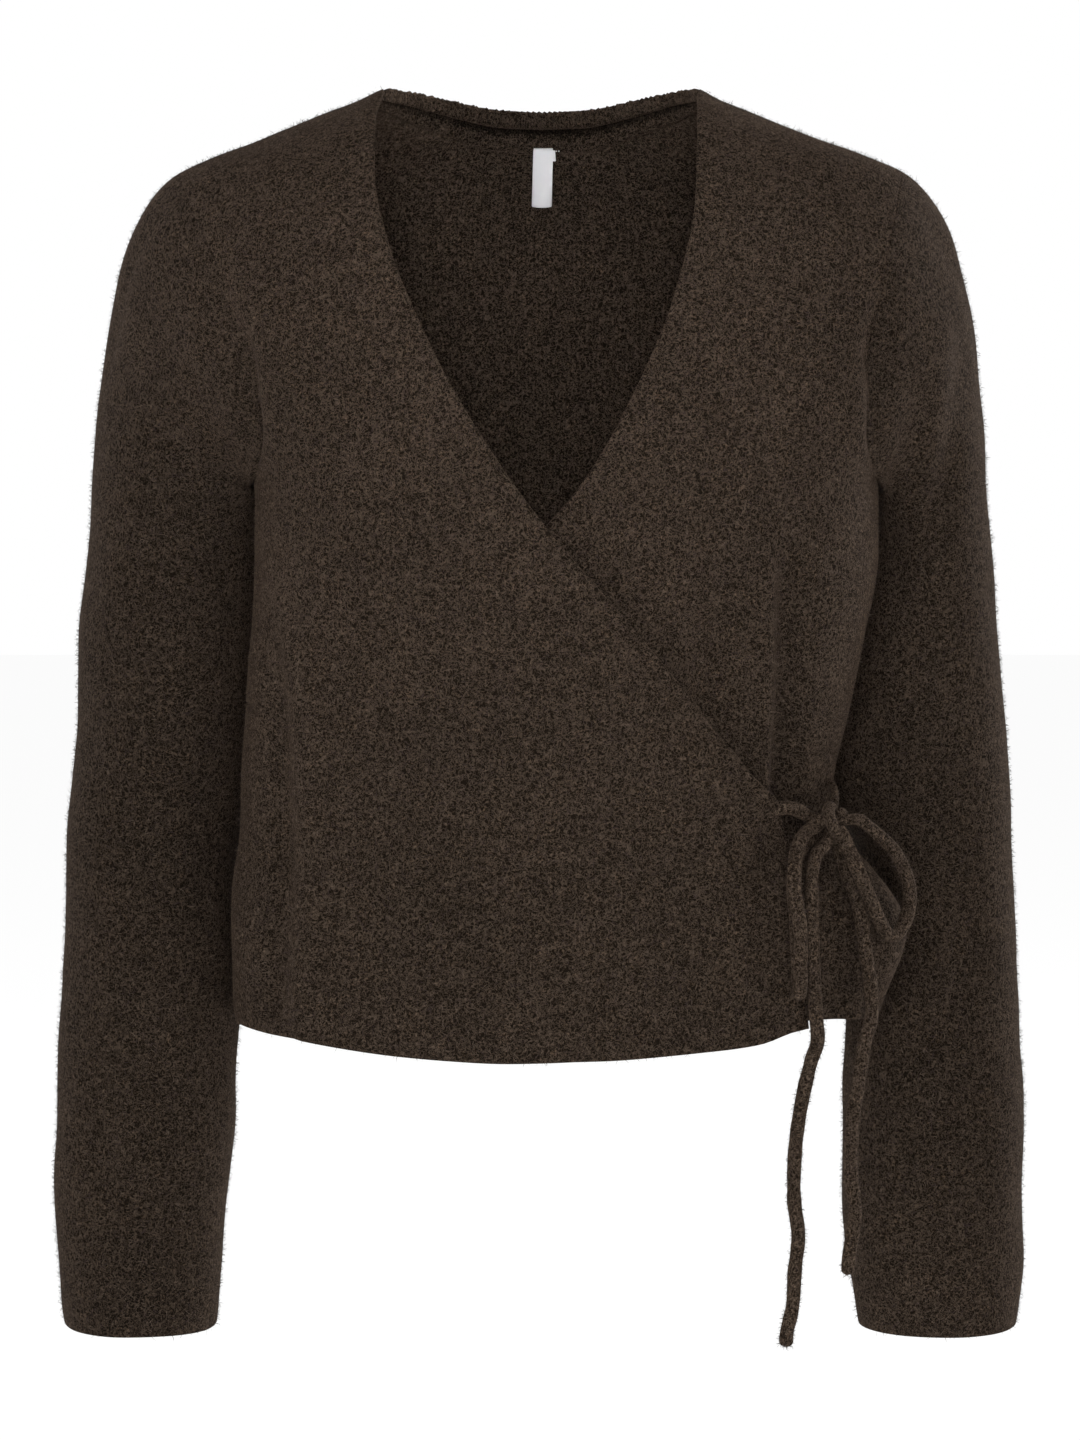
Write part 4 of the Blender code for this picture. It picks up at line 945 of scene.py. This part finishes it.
# Floor and plain soft light
floorSet = {"height": -0.95, "size": 14.0, "color": (0.86, 0.86, 0.86, 1)}
bpy.ops.mesh.primitive_plane_add(size=floorSet["size"], location=(0, 0, floorSet["height"]))
floor = bpy.context.object
floor.name = "studioFloor"
floorFinish, shader, wire = newFinish("studioPaper", Roughness=0.8, Base_Color=floorSet["color"])
glow = wire.node("ShaderNodeEmission", None, {"Strength": 1.1})      # the paper is lit to white, as a cove is
seen = wire.node("ShaderNodeLightPath", out=0)
paper = wire.node("ShaderNodeMixShader", None,
                  {0: seen * 0.85, 1: Wire(wire.tree, shader.outputs[0]), 2: glow})
wire.tree.links.new(paper.socket, wire.tree.nodes["Material Output"].inputs["Surface"])
floor.data.materials.append(floorFinish)


def softLight(name, place, aim, size, watts, spread):
    bpy.ops.object.light_add(type="AREA", location=place)
    light = bpy.context.object
    light.name = name
    light.data.shape = "DISK"
    light.data.size = size
    light.data.energy = watts
    light.data.spread = math.radians(spread)
    light.rotation_euler = (Vector(aim) - Vector(place)).to_track_quat("-Z", "Y").to_euler()


lightAim = (0, 0, -0.3)
lights = [                       # name, place, aim, size, watts, spread in degrees
    ("leftLight", (-2.7, -2.0, -0.6), lightAim, 1.2, 33, 180),
    ("rightLight", (2.8, -2.0, -0.7), lightAim, 1.2, 32, 180),
    ("frontLight", (-0.2, -3.2, 1.0), lightAim, 1.3, 26, 180),
    ("lowLight", (0.2, -2.4, -0.8), (0, 0, -0.6), 1.0, 17, 180),
    ("topLight", (0.0, -0.5, 2.4), lightAim, 1.2, 10, 180),
    ("leftRim", (-2.6, 1.6, 0.2), lightAim, 1.2, 34, 180),
    ("rightRim", (2.6, 1.6, 0.3), lightAim, 1.2, 72, 180),
    ("neckLight", (0, -2.4, 0.02), (0, 0.06, -0.09), 0.4, 0.15, 14),     # only the inside of the neck
]
for row in lights:
    softLight(*row)
world = bpy.data.worlds.new("studio")
bpy.context.scene.world = world
world.use_nodes = True
wire = Wire(world.node_tree)
seen = wire.node("ShaderNodeLightPath", out=0)
paper = world.node_tree.nodes["Background"]
paper.inputs["Color"].default_value = (1, 1, 1, 1)
strength = wire.node("ShaderNodeMapRange", None, {"Value": seen, "To Min": 0.22, "To Max": 1.0})
world.node_tree.links.new(strength.socket, paper.inputs["Strength"])
bpy.context.scene.view_settings.view_transform = "Standard"
bpy.context.scene.view_settings.look = "None"
print("stage ready")
